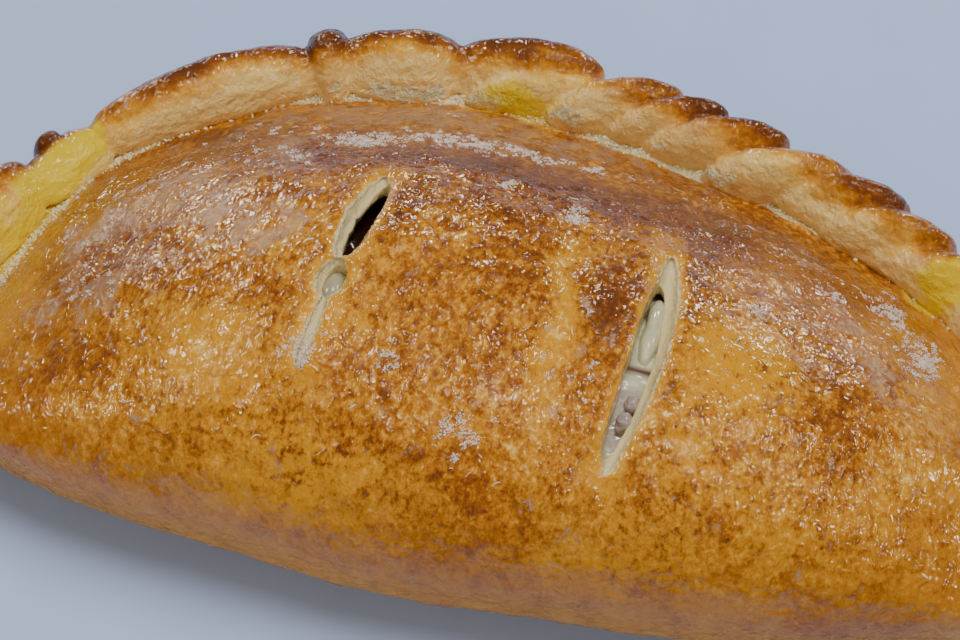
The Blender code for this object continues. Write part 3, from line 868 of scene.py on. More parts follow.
def outward(mesh):
    """Turns a closed mesh's faces to the outside."""
    shape = bmesh.new()
    shape.from_mesh(mesh)
    if shape.calc_volume(signed=True) < 0:
        bmesh.ops.reverse_faces(shape, faces=shape.faces[:])
        shape.to_mesh(mesh)
    shape.free()
    mesh.polygons.foreach_set("use_smooth", np.ones(len(mesh.polygons), bool))
    return mesh


def crown_mesh(name, place, bearings, top_rings, bottom_rings):
    """A closed shape from polar rings: place gives the points from bearing, reach and upper side."""
    top = 1.0 - (1.0 - np.linspace(0.0, 1.0, top_rings + 1)[1:]) ** 1.5
    bottom = 1.0 - np.linspace(0.0, 1.0, bottom_rings + 1)[:-1] ** 1.6
    bearing, reach, above = polar_ball(bearings, top, bottom)
    points = place(bearing, reach, above)
    poles = place(np.zeros(2), np.zeros(2), np.array([True, False]))
    rings = len(points) // bearings
    faces = ring_faces(rings, bearings, len(points), len(points) + 1)
    return outward(mesh_from(name, np.concatenate([points, poles]), faces))


def make_crust(form, relief, material):
    mesh = crown_mesh("crust_body", form.body, 440, 148, 16)
    refine_near_slits(mesh, form, 6.5 * MM)
    points = points_of(mesh)
    lift = dough_relief(form, points, relief)
    points += normals_of(mesh) * lift[:, None]
    upper = points[:, 2] > form.sizes.height * 0.5
    points[upper, 2] += slit_relief(form, points[upper, 0], points[upper, 1], relief)
    points[:, 2] = np.maximum(points[:, 2], 0.0)
    set_points(mesh, points)
    piece = piece_of("crust_body", mesh, material)
    hollow = piece_of("hollow", crown_mesh("hollow", form.hollow, 96, 30, 12))
    mesh = combined(piece, [hollow, *opening_cutters(form)], "DIFFERENCE")
    points = points_of(mesh)
    crust_values(form, points, mesh)
    set_points(mesh, form.fitted(points))
    return finish_piece(piece, "crust", "crust")


def make_rope(form, relief, material):
    """The twisted rope of folds, joined into one skin and wrinkled along the folds."""
    parts = []
    for number, fold in enumerate(ROPE_FOLDS):
        mesh = ball_mesh(f"fold_{number}", form.fold(ball_directions(30, 28), fold), 30, 28)
        parts.append(mesh)
    joined = bmesh.new()
    for mesh in parts:
        joined.from_mesh(mesh)
        bpy.data.meshes.remove(mesh)
    mesh = bpy.data.meshes.new("rope_rim")
    joined.to_mesh(mesh)
    joined.free()
    piece = piece_of("rope_rim", mesh, material)
    skin = piece.modifiers.new("one_skin", "REMESH")
    skin.mode = "VOXEL"
    skin.voxel_size = relief.rope_voxel
    skin.use_smooth_shade = True
    soften = piece.modifiers.new("soft_creases", "SMOOTH")
    soften.factor = 0.5
    soften.iterations = 2
    mesh = final_mesh(piece)
    points = points_of(mesh)
    hollows = deepen_creases(mesh, points, relief)
    part, offset = form.near_rim(points[:, 0], points[:, 1])
    grain = np.stack([part * 0.475 - 0.6 * offset, offset, points[:, 2]], axis=1) * [0.42, 1.0, 1.0]
    lift = relief.wrinkle_height * np.abs(layered_noise(grain, 4.2 * MM, 3, 71)) * -2.2
    lift += relief.lump_height * 0.9 * layered_noise(points, 7 * MM, 3, 73)
    low = 1.0 - smoothstep(-9.0 * MM, -5.0 * MM, offset)
    lift += relief.crumb_height * low * (np.abs(layered_noise(points, 2.6 * MM, 3, 75)) - 0.25)
    points += normals_of(mesh) * lift[:, None]
    points[:, 2] = np.maximum(points[:, 2], 0.0)
    set_points(mesh, points)
    rope_values(points, mesh, part, offset, hollows)
    set_points(mesh, form.fitted(points))
    return finish_piece(piece, "crust", "crust")


def deepen_creases(mesh, points, relief):
    """Pushes hollows in and ridges out, and returns how hollow each point was, in metres."""
    ends = np.empty(len(mesh.edges) * 2, int)
    mesh.edges.foreach_get("vertices", ends)
    first, second = ends.reshape(-1, 2).T
    count = len(points)
    links = np.bincount(first, minlength=count) + np.bincount(second, minlength=count)
    smooth = points.copy()
    for _ in range(14):
        total = np.empty_like(smooth)
        for axis in range(3):
            total[:, axis] = np.bincount(first, smooth[second, axis], count)
            total[:, axis] += np.bincount(second, smooth[first, axis], count)
        smooth = 0.5 * smooth + 0.5 * total / links[:, None]
    bend = points - smooth
    hollow = -(bend * normals_of(mesh)).sum(axis=1)
    points += bend * relief.crease_gain
    return hollow


def rope_values(points, mesh, part, offset, hollows):
    """Browns the rope's tops and outer edges, darkens its creases partly with browning and partly with
    painted shade, and leaves its inner sides pale.
    """
    x, y, z = points.T
    own = np.zeros(len(x))
    weight = np.full(len(x), 1e-9)
    for start, end, inner, outer, wide, _, brown, _ in ROPE_FOLDS:
        along = np.clip((part - start) / (end - start), 0.0, 1.0)
        beyond = np.maximum(0.0, np.abs(part - (start + end) / 2) - (end - start) / 2) * 0.475
        aside = (offset - blend(inner, outer, along)) / (7.0 * MM * wide)
        near = np.exp(-(aside**2) - (beyond / 2.0 / MM) ** 2)
        own += near**3 * brown
        weight += near**3
    own = own / weight
    high = smoothstep(0.011, 0.020, z + 1.2 * MM * noise_at(points, 6 * MM, 81))
    out = smoothstep(-5.0 * MM, 4.5 * MM, offset + 2.6 * MM * noise_at(points, 7 * MM, 83))
    brown = own * (0.16 + 0.84 * high) * (0.05 + 0.95 * out) * 1.08
    drawn = np.stack([part * 0.475 - 0.9 * offset, offset, z], axis=1) * [0.16, 1.0, 1.0]
    brown += 0.10 * layered_noise(drawn, 1.8 * MM, 2, 82)
    for spot_x, spot_y, reach, more in ROPE_SPOTS:
        far = np.hypot(x - spot_x * MM, y - spot_y * MM) / (reach * MM)
        brown += more * np.exp(-(far**2)) * high
    brown += 0.09 * layered_noise(points, 7 * MM, 2, 85) + 0.06 * layered_noise(points, 2.4 * MM, 2, 87)
    # Creases darkened, partly as browning and partly as painted shade.
    brown += 0.22 * smoothstep(0.08 * MM, 0.40 * MM, hollows) * smoothstep(0.40, 0.55, part)
    brown += 0.16 * smoothstep(0.06 * MM, 0.30 * MM, -hollows) * high
    set_values(mesh, "browning", brown)
    set_values(mesh, "mottle", np.full(len(x), 0.4))
    inner_side = offset + 2.2 * MM * noise_at(points, 5 * MM, 88)
    pale = 1.0 - smoothstep(-4.0 * MM, 3.0 * MM, inner_side)
    inside = 1.0 - smoothstep(-8.5 * MM, -5.5 * MM, inner_side)
    facing_up = smoothstep(0.05, 0.5, normals_of(mesh)[:, 2])
    set_values(mesh, "bare", np.maximum(0.38 * pale, inside * facing_up))
    for name in ("cut", "haze", "dust", "dry"):
        set_values(mesh, name, np.zeros(len(x)))
    set_values(mesh, "yellow", 0.12 + 0.4 * layered_noise(points, 9 * MM, 2, 89))
    oil = spots_at(x, y, OIL_SPOTS) * (1.0 - smoothstep(0.55, 0.85, own))
    set_values(mesh, "oil", oil * (1.0 + 0.8 * layered_noise(points, 6 * MM, 3, 47)))


def make_filling(form, material):
    """The filling under the crust, with a strand of cheese pulled up into the right slit."""
    mesh = crown_mesh("melted_filling", form.filling, 150, 60, 10)
    refine_near_slits(mesh, form, 8 * MM)
    points = points_of(mesh)
    upper = points[:, 2] > form.sizes.height * 0.5
    lift = FILLING_SWELL * layered_noise(points, 5 * MM, 3, 91)[upper]
    x, y, _ = points[upper].T
    top = form.top_height(x, y) - form.sizes.top_dough
    points[upper, 2] = np.minimum(top - form.filling_sink(x, y) + lift, top - FILLING_COVER)
    set_points(mesh, points)
    piece = piece_of("melted_filling", mesh, material)
    mesh = combined(piece, [lump_piece(form, number) for number in range(len(LUMPS))], "UNION")
    points = points_of(mesh)
    x, y, z = points.T
    deep = form.top_height(x, y) - form.sizes.top_dough - z
    left, _ = form.slit_place(x, y, "left")
    # Dark sauce and painted shade deep in the left slit: darker the deeper the filling lies under the
    # crust.
    sauce = smoothstep(0.62, 0.50, left + 0.04 * noise_at(points, 3 * MM, 93)) * (x < 0.0)
    sauce *= smoothstep(0.0015, 0.005, deep)
    sauce = np.maximum(sauce, 0.45 * (x < 0.0) * smoothstep(0.52, 0.56, left))
    right, side = form.slit_place(x, y, "right")
    # Painted shade: dark crescents at the top of the right slit, under the end of the cheese strand and
    # beside the ham.
    shade_crescents = np.exp(-(((right - 0.615) / 0.014) ** 2)) + np.exp(-(((right - 0.275) / 0.02) ** 2))
    shade_crescents += np.exp(-(((right - 0.765) / 0.014) ** 2)) * smoothstep(0.4 * MM, 1.4 * MM, side)
    set_values(mesh, "sauce", np.maximum(sauce, np.minimum(1.0, shade_crescents) * (x > 0.0)))
    set_values(mesh, "meaty", smoothstep(0.62, 0.70, right) * (x > 0.0))
    set_points(mesh, form.fitted(points))
    return finish_piece(piece, "cheese", "filling")


def lump_piece(form, number):
    """A strand or a bulge of melted cheese that stands up in an opening."""
    slit, first, last, half_width, below, thick, waves = LUMPS[number]
    unit = ball_directions(40, 24)
    part = blend(first, last, (unit[:, 2] + 1.0) / 2.0)
    plump = np.sqrt(np.maximum(1e-9, 1.0 - unit[:, 2] ** 2)) ** -0.3
    narrow = 1.0 + waves * np.sin(part * 40.0)
    x, y = form.on_slit(slit, part, unit[:, 0] * half_width * plump * narrow - 0.0005)
    middle_x, middle_y = form.on_slit(slit, part)
    z = form.top_height(middle_x, middle_y) - below + thick * unit[:, 1] * plump
    name = f"lump_{number + 1}"
    return piece_of(name, ball_mesh(name, np.stack([x, y, z], axis=1), 40, 24))


def make_ham(form, number, material):
    """One rounded dice of ham."""
    part, sideways, depth, half_sizes = HAM[number]
    unit = ball_directions(40, 48)
    squared = np.copysign(np.abs(unit) ** 0.72, unit) * np.array(half_sizes)
    x, y = form.on_slit("right", part, sideways)
    top = float(form.top_height(np.array([x]), np.array([y]))[0]) - depth
    points = squared + [x, y, top - half_sizes[2]]
    name = f"ham_dice_{number + 1}"
    mesh = ball_mesh(name, points, 40, 48)
    points = points_of(mesh)
    points += normals_of(mesh) * (0.00036 * layered_noise(points, 1.7 * MM, 3, 95 + number))[:, None]
    set_points(mesh, form.fitted(points))
    piece = piece_of(name, mesh, material)
    return finish_piece(piece, "ham", f"ham_{number + 1}")


def surface_below(tree, x, y):
    """Point and normal of the crust under a plan point, or nothing beside it."""
    spot, normal, _, _ = tree.ray_cast(Vector((x, y, 0.2)), Vector((0.0, 0.0, -1.0)))
    return spot, normal


class Crumbs:
    """Many small rounded crumbs gathered into one mesh."""

    def __init__(self):
        shape = bmesh.new()
        bmesh.ops.create_icosphere(shape, subdivisions=1, radius=1.0)
        self.base = np.array([vertex.co for vertex in shape.verts])
        self.base_faces = np.array([[vertex.index for vertex in face.verts] for face in shape.faces])
        shape.free()
        self.points, self.faces = [], []

    def bumps(self, chance):
        """A random reach for each point of a crumb."""
        return chance.uniform(0.75, 1.2, (len(self.base), 1))

    def add(self, spot, normal, big, scales, turn, lift):
        """Adds a crumb at a spot of the crust, its middle a share of its size above it."""
        middle = np.array(spot + normal * big * lift)
        self.faces.append(self.base_faces + len(self.points) * len(self.base))
        self.points.append((self.base * scales * big) @ turn + middle)

    def finish(self, name, material):
        mesh = mesh_from(name, np.concatenate(self.points), np.concatenate(self.faces).tolist())
        return finish_piece(piece_of(name, mesh, material), "cheese")


def any_turn(chance):
    angle = chance.uniform(0, math.pi)
    return np.array(Matrix.Rotation(angle, 3, Vector(chance.normal(0, 1, 3))))


def make_cheese(form, relief, material, seam_material, crust):
    """Crumbs and shreds of grated cheese lying on the crust, and crumbs along the torn seam."""
    chance = np.random.default_rng(5)
    tree = BVHTree.FromPolygons([vertex.co for vertex in crust.data.vertices],
                                [tuple(face.vertices) for face in crust.data.polygons])
    make_clumps(relief, material, tree, chance)
    make_shreds(form, relief, material, tree, chance)
    make_seam_crumbs(form, relief, seam_material, tree, chance)


def make_clumps(relief, material, tree, chance):
    """Clumps of crumbs in tufts, with a few larger crumbs among them."""
    crumbs = Crumbs()
    for spot_x, spot_y, reach_x, reach_y, count in CHEESE_CLUMPS:
        tufts = chance.normal(0.0, 0.62, (max(3, count // 12), 2)) * [reach_x, reach_y]
        spread = 0.42 if reach_x < WIDE_REACH else 2.0
        for _ in range(count):
            across, up = tufts[chance.integers(len(tufts))] + chance.normal(0.0, spread, 2)
            big = relief.crumb_size * chance.uniform(0.45, 1.25)
            if chance.random() < 0.12:
                big *= 1.35
            turn = any_turn(chance)
            stretch = chance.uniform(0.6, 1.5, 3)
            scales = crumbs.bumps(chance) * stretch
            spot, normal = surface_below(tree, (spot_x + across) * MM, (spot_y + up) * MM)
            if spot is not None and spot.z >= CHEESE_FLOOR:
                crumbs.add(spot, normal, big, scales, turn, 0.35)
    return crumbs.finish("grated_cheese", material)


def make_seam_crumbs(form, relief, material, tree, chance):
    """Crumbs of torn dough in the groove between the dome and the rope."""
    crumbs = Crumbs()
    turns = chance.uniform(0.10, math.pi - 0.10, relief.seam_crumbs)
    inset = form.foot_inset(form.outline(turns, 17 * MM)[0]) - 1.8 * MM
    edge_x, edge_y = form.outline(turns, inset + chance.normal(0.0, 1.4 * MM, len(turns)))
    for x, y in zip(edge_x, edge_y):
        big = relief.seam_crumb_size * chance.uniform(0.4, 1.3)
        spot, normal = surface_below(tree, x, y)
        turn = any_turn(chance)
        scales = crumbs.bumps(chance) * chance.uniform(0.6, 1.5, 3)
        crumbs.add(spot, normal, big, scales, turn, 0.2)
    return crumbs.finish("seam_crumbs", material)


def make_shreds(form, relief, material, tree, chance):
    """Short curved shreds of cheese, melted onto the crust."""
    points, faces = [], []
    steps, sides = 7, 6
    for _ in range(relief.shred_count):
        bearing, reach = chance.uniform(-math.pi, math.pi), math.sqrt(chance.uniform(0.0, 0.72))
        x, y = form.body_spots(np.array([bearing]), np.array([reach]))
        heading, bend = chance.uniform(0, 2 * math.pi), chance.uniform(-0.5, 0.5)
        long = relief.shred_length * chance.uniform(0.35, 1.3)
        thick = chance.uniform(0.10, 0.21) * MM
        rows = []
        x, y = float(x[0]), float(y[0])
        for step in range(steps):
            heading += bend
            x += math.cos(heading) * long / steps
            y += math.sin(heading) * long / steps
            spot, normal = surface_below(tree, x, y)
            if spot is None or spot.z < SHRED_FLOOR:
                break
            ahead = Vector((math.cos(heading), math.sin(heading), 0.0))
            ahead = (ahead - normal * ahead.dot(normal)).normalized()
            across = normal.cross(ahead)
            wide = thick * (1.0 - 0.75 * abs(step / (steps - 1) * 2.0 - 1.0) ** 3)
            for side in range(sides):
                turn = side / sides * 2.0 * math.pi
                up = normal * (math.sin(turn) + 0.3)
                rows.append(spot + across * math.cos(turn) * wide + up * wide)
        if len(rows) < steps * sides:
            continue
        first = len(points)
        points.extend(rows)
        middle = [sum(rows[:sides], Vector()) / sides, sum(rows[-sides:], Vector()) / sides]
        points.extend(middle)
        for face in ring_faces(steps, sides, steps * sides, steps * sides + 1):
            faces.append(tuple(index + first for index in face))
    mesh = outward(mesh_from("cheese_shreds", points, faces))
    return finish_piece(piece_of("cheese_shreds", mesh, material), "cheese")


# ----------------------------------------------------------------------- materials


class Graph:
    """Adds nodes to a tree and links their inputs in one line."""

    def __init__(self, tree):
        self.tree = tree

    def add(self, kind, inputs=None, **settings):
        node = self.tree.nodes.new(kind)
        for name, value in settings.items():
            setattr(node, name, value)
        for name, value in (inputs or {}).items():
            self.feed(node.inputs[name], value)
        return node

    def feed(self, socket, value):
        if isinstance(value, bpy.types.NodeSocket):
            self.tree.links.new(value, socket)
        else:
            socket.default_value = value

    def value(self, name):
        """A value stored at the mesh's points."""
        return self.add("ShaderNodeAttribute", attribute_name=name).outputs["Fac"]

    def math(self, operation, first, second=0.0, third=0.0):
        node = self.add("ShaderNodeMath", operation=operation)
        for socket, value in zip(node.inputs, (first, second, third)):
            self.feed(socket, value)
        return node.outputs[0]

    def mix(self, factor, first, second, blend_type="MIX"):
        node = self.add("ShaderNodeMix", data_type="RGBA", blend_type=blend_type, clamp_factor=True)
        self.feed(node.inputs[0], factor)
        self.feed(node.inputs[6], first)
        self.feed(node.inputs[7], second)
        return node.outputs[2]

    def range(self, value, low, high, new_low=0.0, new_high=1.0):
        """The value's way from low to high as a smooth way from new_low to new_high."""
        node = self.add("ShaderNodeMapRange", {"Value": value, "From Min": low, "From Max": high,
                                               "To Min": new_low, "To Max": new_high},
                        interpolation_type="SMOOTHSTEP")
        return node.outputs["Result"]

    def place(self):
        """Points of the piece, with the pattern drawn out along Y as the folded dough was."""
        drawn = self.add("ShaderNodeVectorMath", operation="MULTIPLY")
        self.feed(drawn.inputs[0], self.add("ShaderNodeTexCoord").outputs["Object"])
        self.feed(drawn.inputs[1], (1.0, 0.68, 1.0))
        return drawn.outputs[0]

    def noise(self, place, spacing, detail=3.0, roughness=0.55, distortion=0.0):
        """Noise of a spacing in metres, or of a linked scale."""
        inputs = {"Vector": place, "Scale": 1.0 / spacing if isinstance(spacing, float) else spacing,
                  "Detail": detail, "Roughness": roughness, "Distortion": distortion}
        return self.add("ShaderNodeTexNoise", inputs).outputs["Fac"]

    def bump(self, shader, height):
        """Raises the shader's surface by a height in metres."""
        node = self.add("ShaderNodeBump", {"Height": height, "Distance": 1.0, "Strength": 1.0})
        self.feed(shader.inputs["Normal"], node.outputs["Normal"])


def new_group(name, inputs, outputs):
    """A shader group with named number inputs and outputs, its graph, and both of its ends."""
    tree = bpy.data.node_groups.new(name, "ShaderNodeTree")
    for socket, default in inputs.items():
        made = tree.interface.new_socket(socket, in_out="INPUT", socket_type="NodeSocketFloat")
        made.default_value = default
    for socket in outputs:
        tree.interface.new_socket(socket, in_out="OUTPUT", socket_type="NodeSocketFloat")
    graph = Graph(tree)
    return tree, graph, graph.add("NodeGroupInput").outputs, graph.add("NodeGroupOutput").inputs


def grain_group():
    """Fine baked blisters and grit: a height in metres, the blisters' crowns and the grit."""
    name = "baked_grain"
    if name in bpy.data.node_groups:
        return bpy.data.node_groups[name]
    tree, graph, given, out = new_group(name, {"Spacing": 0.0014, "Height": 0.0001, "Grit": 0.3},
                                       ("Height", "Crown", "Speckle"))
    place = graph.place()
    often = graph.math("DIVIDE", 1.0, given["Spacing"])
    swirls = {"Vector": place, "Scale": graph.math("MULTIPLY", often, 0.8), "Detail": 1.0}
    swirl = graph.add("ShaderNodeTexNoise", swirls).outputs["Color"]
    bend = graph.add("ShaderNodeVectorMath", operation="MULTIPLY_ADD")
    for socket, value in zip(bend.inputs, (swirl, (0.0016, 0.0016, 0.0016), place)):
        graph.feed(socket, value)
    cells = graph.add("ShaderNodeTexVoronoi", {"Vector": bend.outputs[0], "Scale": often}, feature="F1")
    crown = graph.range(cells.outputs["Distance"], 0.62, 0.0)
    patch = graph.range(graph.noise(place, 0.005, 2.0), 0.35, 0.65, 0.35, 1.0)
    grit = graph.noise(place, graph.math("MULTIPLY", often, 2.6), 2.0, 0.6)
    relief = graph.math("MULTIPLY_ADD", graph.math("SUBTRACT", grit, 0.5), given["Grit"],
                        graph.math("MULTIPLY", crown, patch))
    graph.feed(out["Height"], graph.math("MULTIPLY", relief, given["Height"]))
    graph.feed(out["Crown"], graph.math("MULTIPLY", crown, patch))
    graph.feed(out["Speckle"], grit)
    return tree


def film_group():
    """A patchy wet film: roughness and the weight of the clear film over it."""
    name = "wet_film"
    if name in bpy.data.node_groups:
        return bpy.data.node_groups[name]
    tree, graph, given, out = new_group(name, {"Wet": 1.0, "Dry Roughness": 0.6, "Wet Roughness": 0.28},
                                       ("Roughness", "Film"))
    place = graph.place()
    patch = graph.range(graph.noise(place, 0.007, 2.0), 0.32, 0.48, 0.70, 1.0)
    fine = graph.range(graph.noise(place, 0.0016, 2.0), 0.30, 0.46, 0.8, 1.0)
    wet = graph.math("MULTIPLY", graph.math("MULTIPLY", patch, fine), given["Wet"])
    change = graph.math("SUBTRACT", given["Wet Roughness"], given["Dry Roughness"])
    graph.feed(out["Roughness"], graph.math("MULTIPLY_ADD", change, wet, given["Dry Roughness"]))
    graph.feed(out["Film"], wet)
    return tree


def dust_group():
    """Specks of fine grated cheese: a mask and the specks' height in metres."""
    name = "cheese_dust"
    if name in bpy.data.node_groups:
        return bpy.data.node_groups[name]
    tree, graph, given, out = new_group(name, {"Amount": 0.5, "Spacing": 0.0009}, ("Mask", "Height"))
    place = graph.place()
    often = graph.math("DIVIDE", 1.0, given["Spacing"])
    speck = graph.noise(place, often, 3.0, 0.80)
    needed = graph.math("MULTIPLY_ADD", given["Amount"], -0.34, 0.79)
    mask = graph.range(graph.math("SUBTRACT", speck, needed), -0.02, 0.03)
    mask = graph.math("MULTIPLY", mask, graph.range(given["Amount"], 0.02, 0.2))
    graph.feed(out["Mask"], mask)
    graph.feed(out["Height"], graph.math("MULTIPLY", mask, 0.00012))
    return tree


def use_group(graph, tree, **inputs):
    named = {name.replace("_", " "): value for name, value in inputs.items()}
    return graph.add("ShaderNodeGroup", named, node_tree=tree).outputs


def new_material(name, specular=0.5, film_roughness=0.1, subsurface=0.0):
    """An empty material, its graph and its shader with the settings that stay the same all over."""
    made = bpy.data.materials.new(name)
    made.use_nodes = True
    shader = made.node_tree.nodes["Principled BSDF"]
    shader.inputs["Specular IOR Level"].default_value = specular
    shader.inputs["Coat Roughness"].default_value = film_roughness
    shader.inputs["Subsurface Weight"].default_value = subsurface
    shader.inputs["Subsurface Radius"].default_value = (1.0, 0.6, 0.35)
    shader.inputs["Subsurface Scale"].default_value = 0.0012
    return made, Graph(made.node_tree), shader


def opaque(rgb):
    return (*rgb, 1.0)


def crust_material(colours):
    """Baked dough: cream to dark brown, freckled, oiled, blistered, and dusted with fine cheese, with
    painted shade darkening the cut walls of the slits with depth.
    """
    made, graph, shader = new_material("baked_crust", 0.55)
    place = graph.place()
    grain = use_group(graph, grain_group(), Spacing=0.0012, Height=0.00010, Grit=0.10)
    coarse = graph.math("SUBTRACT", graph.noise(place, 0.0050, 3.0, 0.6, 0.4), 0.5)
    fine = graph.math("SUBTRACT", graph.noise(place, 0.0011, 2.0, 0.75), 0.5)
    ripple = graph.noise(place, 0.0020, 1.0, 0.40, 0.8)
    spots = graph.math("MULTIPLY_ADD", fine, 0.8, graph.math("MULTIPLY", coarse, 0.50))
    spots = graph.math("MULTIPLY_ADD", graph.math("SUBTRACT", ripple, 0.5), 0.7, spots)
    spots = graph.math("MULTIPLY_ADD", graph.math("SUBTRACT", grain["Speckle"], 0.5), 0.55, spots)
    brown = graph.math("MULTIPLY_ADD", spots, graph.value("mottle"), graph.value("browning"))
    brown = graph.math("MULTIPLY_ADD", graph.math("SUBTRACT", grain["Crown"], 0.35), -0.12, brown)
    ramp = graph.add("ShaderNodeValToRGB", {"Fac": brown})
    tones = ((0.05, colours.cream), (0.24, colours.pale_gold), (0.44, colours.gold),
             (0.60, colours.amber), (0.78, colours.russet), (0.98, colours.umber))
    ramp.color_ramp.elements[0].position = tones[0][0]
    ramp.color_ramp.elements[1].position = tones[-1][0]
    for position, _ in tones[1:-1]:
        ramp.color_ramp.elements.new(position)
    for element, (position, tone) in zip(ramp.color_ramp.elements, tones):
        element.color = opaque(tone)
    golden = graph.math("MULTIPLY", graph.value("yellow"), graph.range(brown, 0.80, 0.45))
    golden = graph.math("MULTIPLY", golden, graph.range(brown, 0.08, 0.30))
    tone = graph.mix(golden, ramp.outputs["Color"], opaque(colours.yellow))
    crumbly = graph.range(graph.noise(place, 0.0014, 4.0, 0.65), 0.30, 0.70)
    pale = graph.mix(crumbly, opaque([part * 0.70 for part in colours.crumb]), opaque(colours.crumb))
    # Painted shade: the cut walls darken towards this tone the deeper they lie in the slit.
    deep_cut_shade = opaque((colours.crumb[0] * 0.74, colours.crumb[1] * 0.70, colours.crumb[2] * 0.60))
    pale = graph.mix(graph.value("cut"), pale, deep_cut_shade)
    bare = graph.math("MULTIPLY_ADD", fine, 0.6, graph.value("bare"))
    bare = graph.range(bare, 0.20, 0.80)
    tone = graph.mix(bare, tone, pale)
    oily = graph.range(graph.math("MULTIPLY_ADD", coarse, 0.8, graph.value("oil")), 0.15, 0.85)
    tone = graph.mix(graph.math("MULTIPLY", oily, 0.95), tone, opaque(colours.oil))
    hazy = graph.math("MULTIPLY_ADD", coarse, 1.8, graph.value("haze"))
    hazy = graph.math("MULTIPLY_ADD", fine, 0.9, hazy)
    hazy = graph.range(hazy, 0.30, 0.52)
    film_of_cheese = graph.math("MULTIPLY", hazy, graph.range(fine, -0.14, 0.14, 0.30, 0.95))
    flecks = graph.range(grain["Speckle"], 0.40, 0.60, 0.35, 1.0)
    film_of_cheese = graph.math("MULTIPLY", film_of_cheese, flecks)
    tone = graph.mix(film_of_cheese, tone, opaque(colours.haze))
    dust = use_group(graph, dust_group(), Amount=graph.value("dust"), Spacing=0.0011)
    tone = graph.mix(graph.math("MULTIPLY", dust["Mask"], 0.80), tone, opaque(colours.dust))
    dry = graph.math("MULTIPLY", bare, graph.range(graph.value("cut"), 0.0, 1.0, 0.85, 0.35))
    powdery = graph.math("MAXIMUM", dust["Mask"], graph.math("MULTIPLY", hazy, 0.7))
    dry = graph.math("MAXIMUM", dry, powdery)
    dry = graph.math("MAXIMUM", dry, graph.value("dry"))
    dry = graph.math("MULTIPLY", dry, graph.math("MULTIPLY_ADD", oily, -0.8, 1.0))
    wet = graph.math("MULTIPLY_ADD", dry, -1.0, 1.0)
    film = use_group(graph, film_group(), Wet=wet, Dry_Roughness=0.50, Wet_Roughness=0.09)
    graph.feed(shader.inputs["Base Color"], tone)
    graph.feed(shader.inputs["Roughness"], film["Roughness"])
    pocks = graph.math("MULTIPLY", bare, graph.range(graph.value("cut"), 0.0, 1.0, 0.00060, 0.00012))
    rough = graph.math("MULTIPLY", graph.math("SUBTRACT", crumbly, 0.5), pocks)
    swell = graph.math("MULTIPLY", graph.noise(place, 0.0036, 1.0), 0.00050)
    specks = graph.math("ADD", grain["Height"], dust["Height"])
    height = graph.math("ADD", specks, graph.math("ADD", rough, swell))
    ripple_height = graph.range(graph.value("bare"), 0.2, 0.8, 0.00045, 0.0002)
    height = graph.math("MULTIPLY_ADD", ripple, ripple_height, height)
    graph.bump(shader, height)
    return made


def finish_moist(graph, shader, tone, roughness, grain):
    """Gives a moist material its colour, its film between a dry and a wet roughness, and its grain."""
    dry, wet = roughness
    film = use_group(graph, film_group(), Wet=1.0, Dry_Roughness=dry, Wet_Roughness=wet)
    graph.feed(shader.inputs["Base Color"], tone)
    graph.feed(shader.inputs["Roughness"], film["Roughness"])
    graph.feed(shader.inputs["Coat Weight"], film["Film"])
    graph.bump(shader, grain["Height"])


def filling_material(colours):
    """Melted cheese, dark sauce with painted shade deep under the left slit, painted shade in dark
    crescents in the right slit, and a meaty film under the right one.
    """
    made, graph, shader = new_material("melted_filling", 0.5, 0.06, 0.12)
    place = graph.place()
    cloudy = graph.range(graph.noise(place, 0.003, 4.0), 0.3, 0.7)
    tone = graph.mix(cloudy, opaque(colours.cheese), opaque([part * 0.74 for part in colours.cheese]))
    meaty = graph.math("MULTIPLY", graph.value("meaty"), graph.range(cloudy, 0.0, 1.0, 0.5, 0.9))
    tone = graph.mix(meaty, tone, opaque(colours.ham))
    # Dark sauce and painted shade in the slits.
    tone = graph.mix(graph.value("sauce"), tone, opaque(colours.sauce))
    grain = use_group(graph, grain_group(), Spacing=0.0016, Height=0.00006, Grit=0.3)
    finish_moist(graph, shader, tone, (0.34, 0.18), grain)
    return made


def ham_material(colours):
    """Pinkish cured ham with paler fat."""
    made, graph, shader = new_material("diced_ham", 0.5, 0.08, 0.15)
    place = graph.place()
    fat = graph.range(graph.noise(place, 0.0018, 3.0), 0.52, 0.70)
    tone = graph.mix(fat, opaque(colours.ham), opaque([min(1.0, part * 1.35) for part in colours.ham]))
    grain = use_group(graph, grain_group(), Spacing=0.0011, Height=0.00005, Grit=0.6)
    finish_moist(graph, shader, tone, (0.40, 0.22), grain)
    return made


def grated_material(colours):
    return crumb_material("grated_cheese", colours.dust)


def seam_material(colours):
    return crumb_material("seam_crumbs", colours.crumb)


def crumb_material(name, colour_of_crumb):
    """Dry grated cheese or dough crumbs, slightly uneven in tone."""
    made, graph, shader = new_material(name, 0.4, 0.2, 0.10)
    place = graph.place()
    patch = graph.range(graph.noise(place, 0.0022, 3.0), 0.3, 0.7)
    tone = graph.mix(patch, opaque(colour_of_crumb), opaque([part * 0.72 for part in colour_of_crumb]))
    grain = use_group(graph, grain_group(), Spacing=0.0005, Height=0.00003, Grit=0.6)
    graph.feed(shader.inputs["Base Color"], tone)
    graph.feed(shader.inputs["Roughness"], graph.range(patch, 0.0, 1.0, 0.45, 0.65))
    graph.bump(shader, grain["Height"])
    return made


def table_material(colour_of_table):
    made, graph, shader = new_material("table_top", 0.3)
    place = graph.place()
    cloudy = graph.range(graph.noise(place, 0.02, 4.0), 0.3, 0.7)
    dark = [part * 0.97 for part in colour_of_table]
    graph.feed(shader.inputs["Base Color"], graph.mix(cloudy, opaque(colour_of_table), opaque(dark)))
    shader.inputs["Roughness"].default_value = 0.6
    return made


def material_named(name, maker, colours):
    return bpy.data.materials.get(name) or maker(colours)


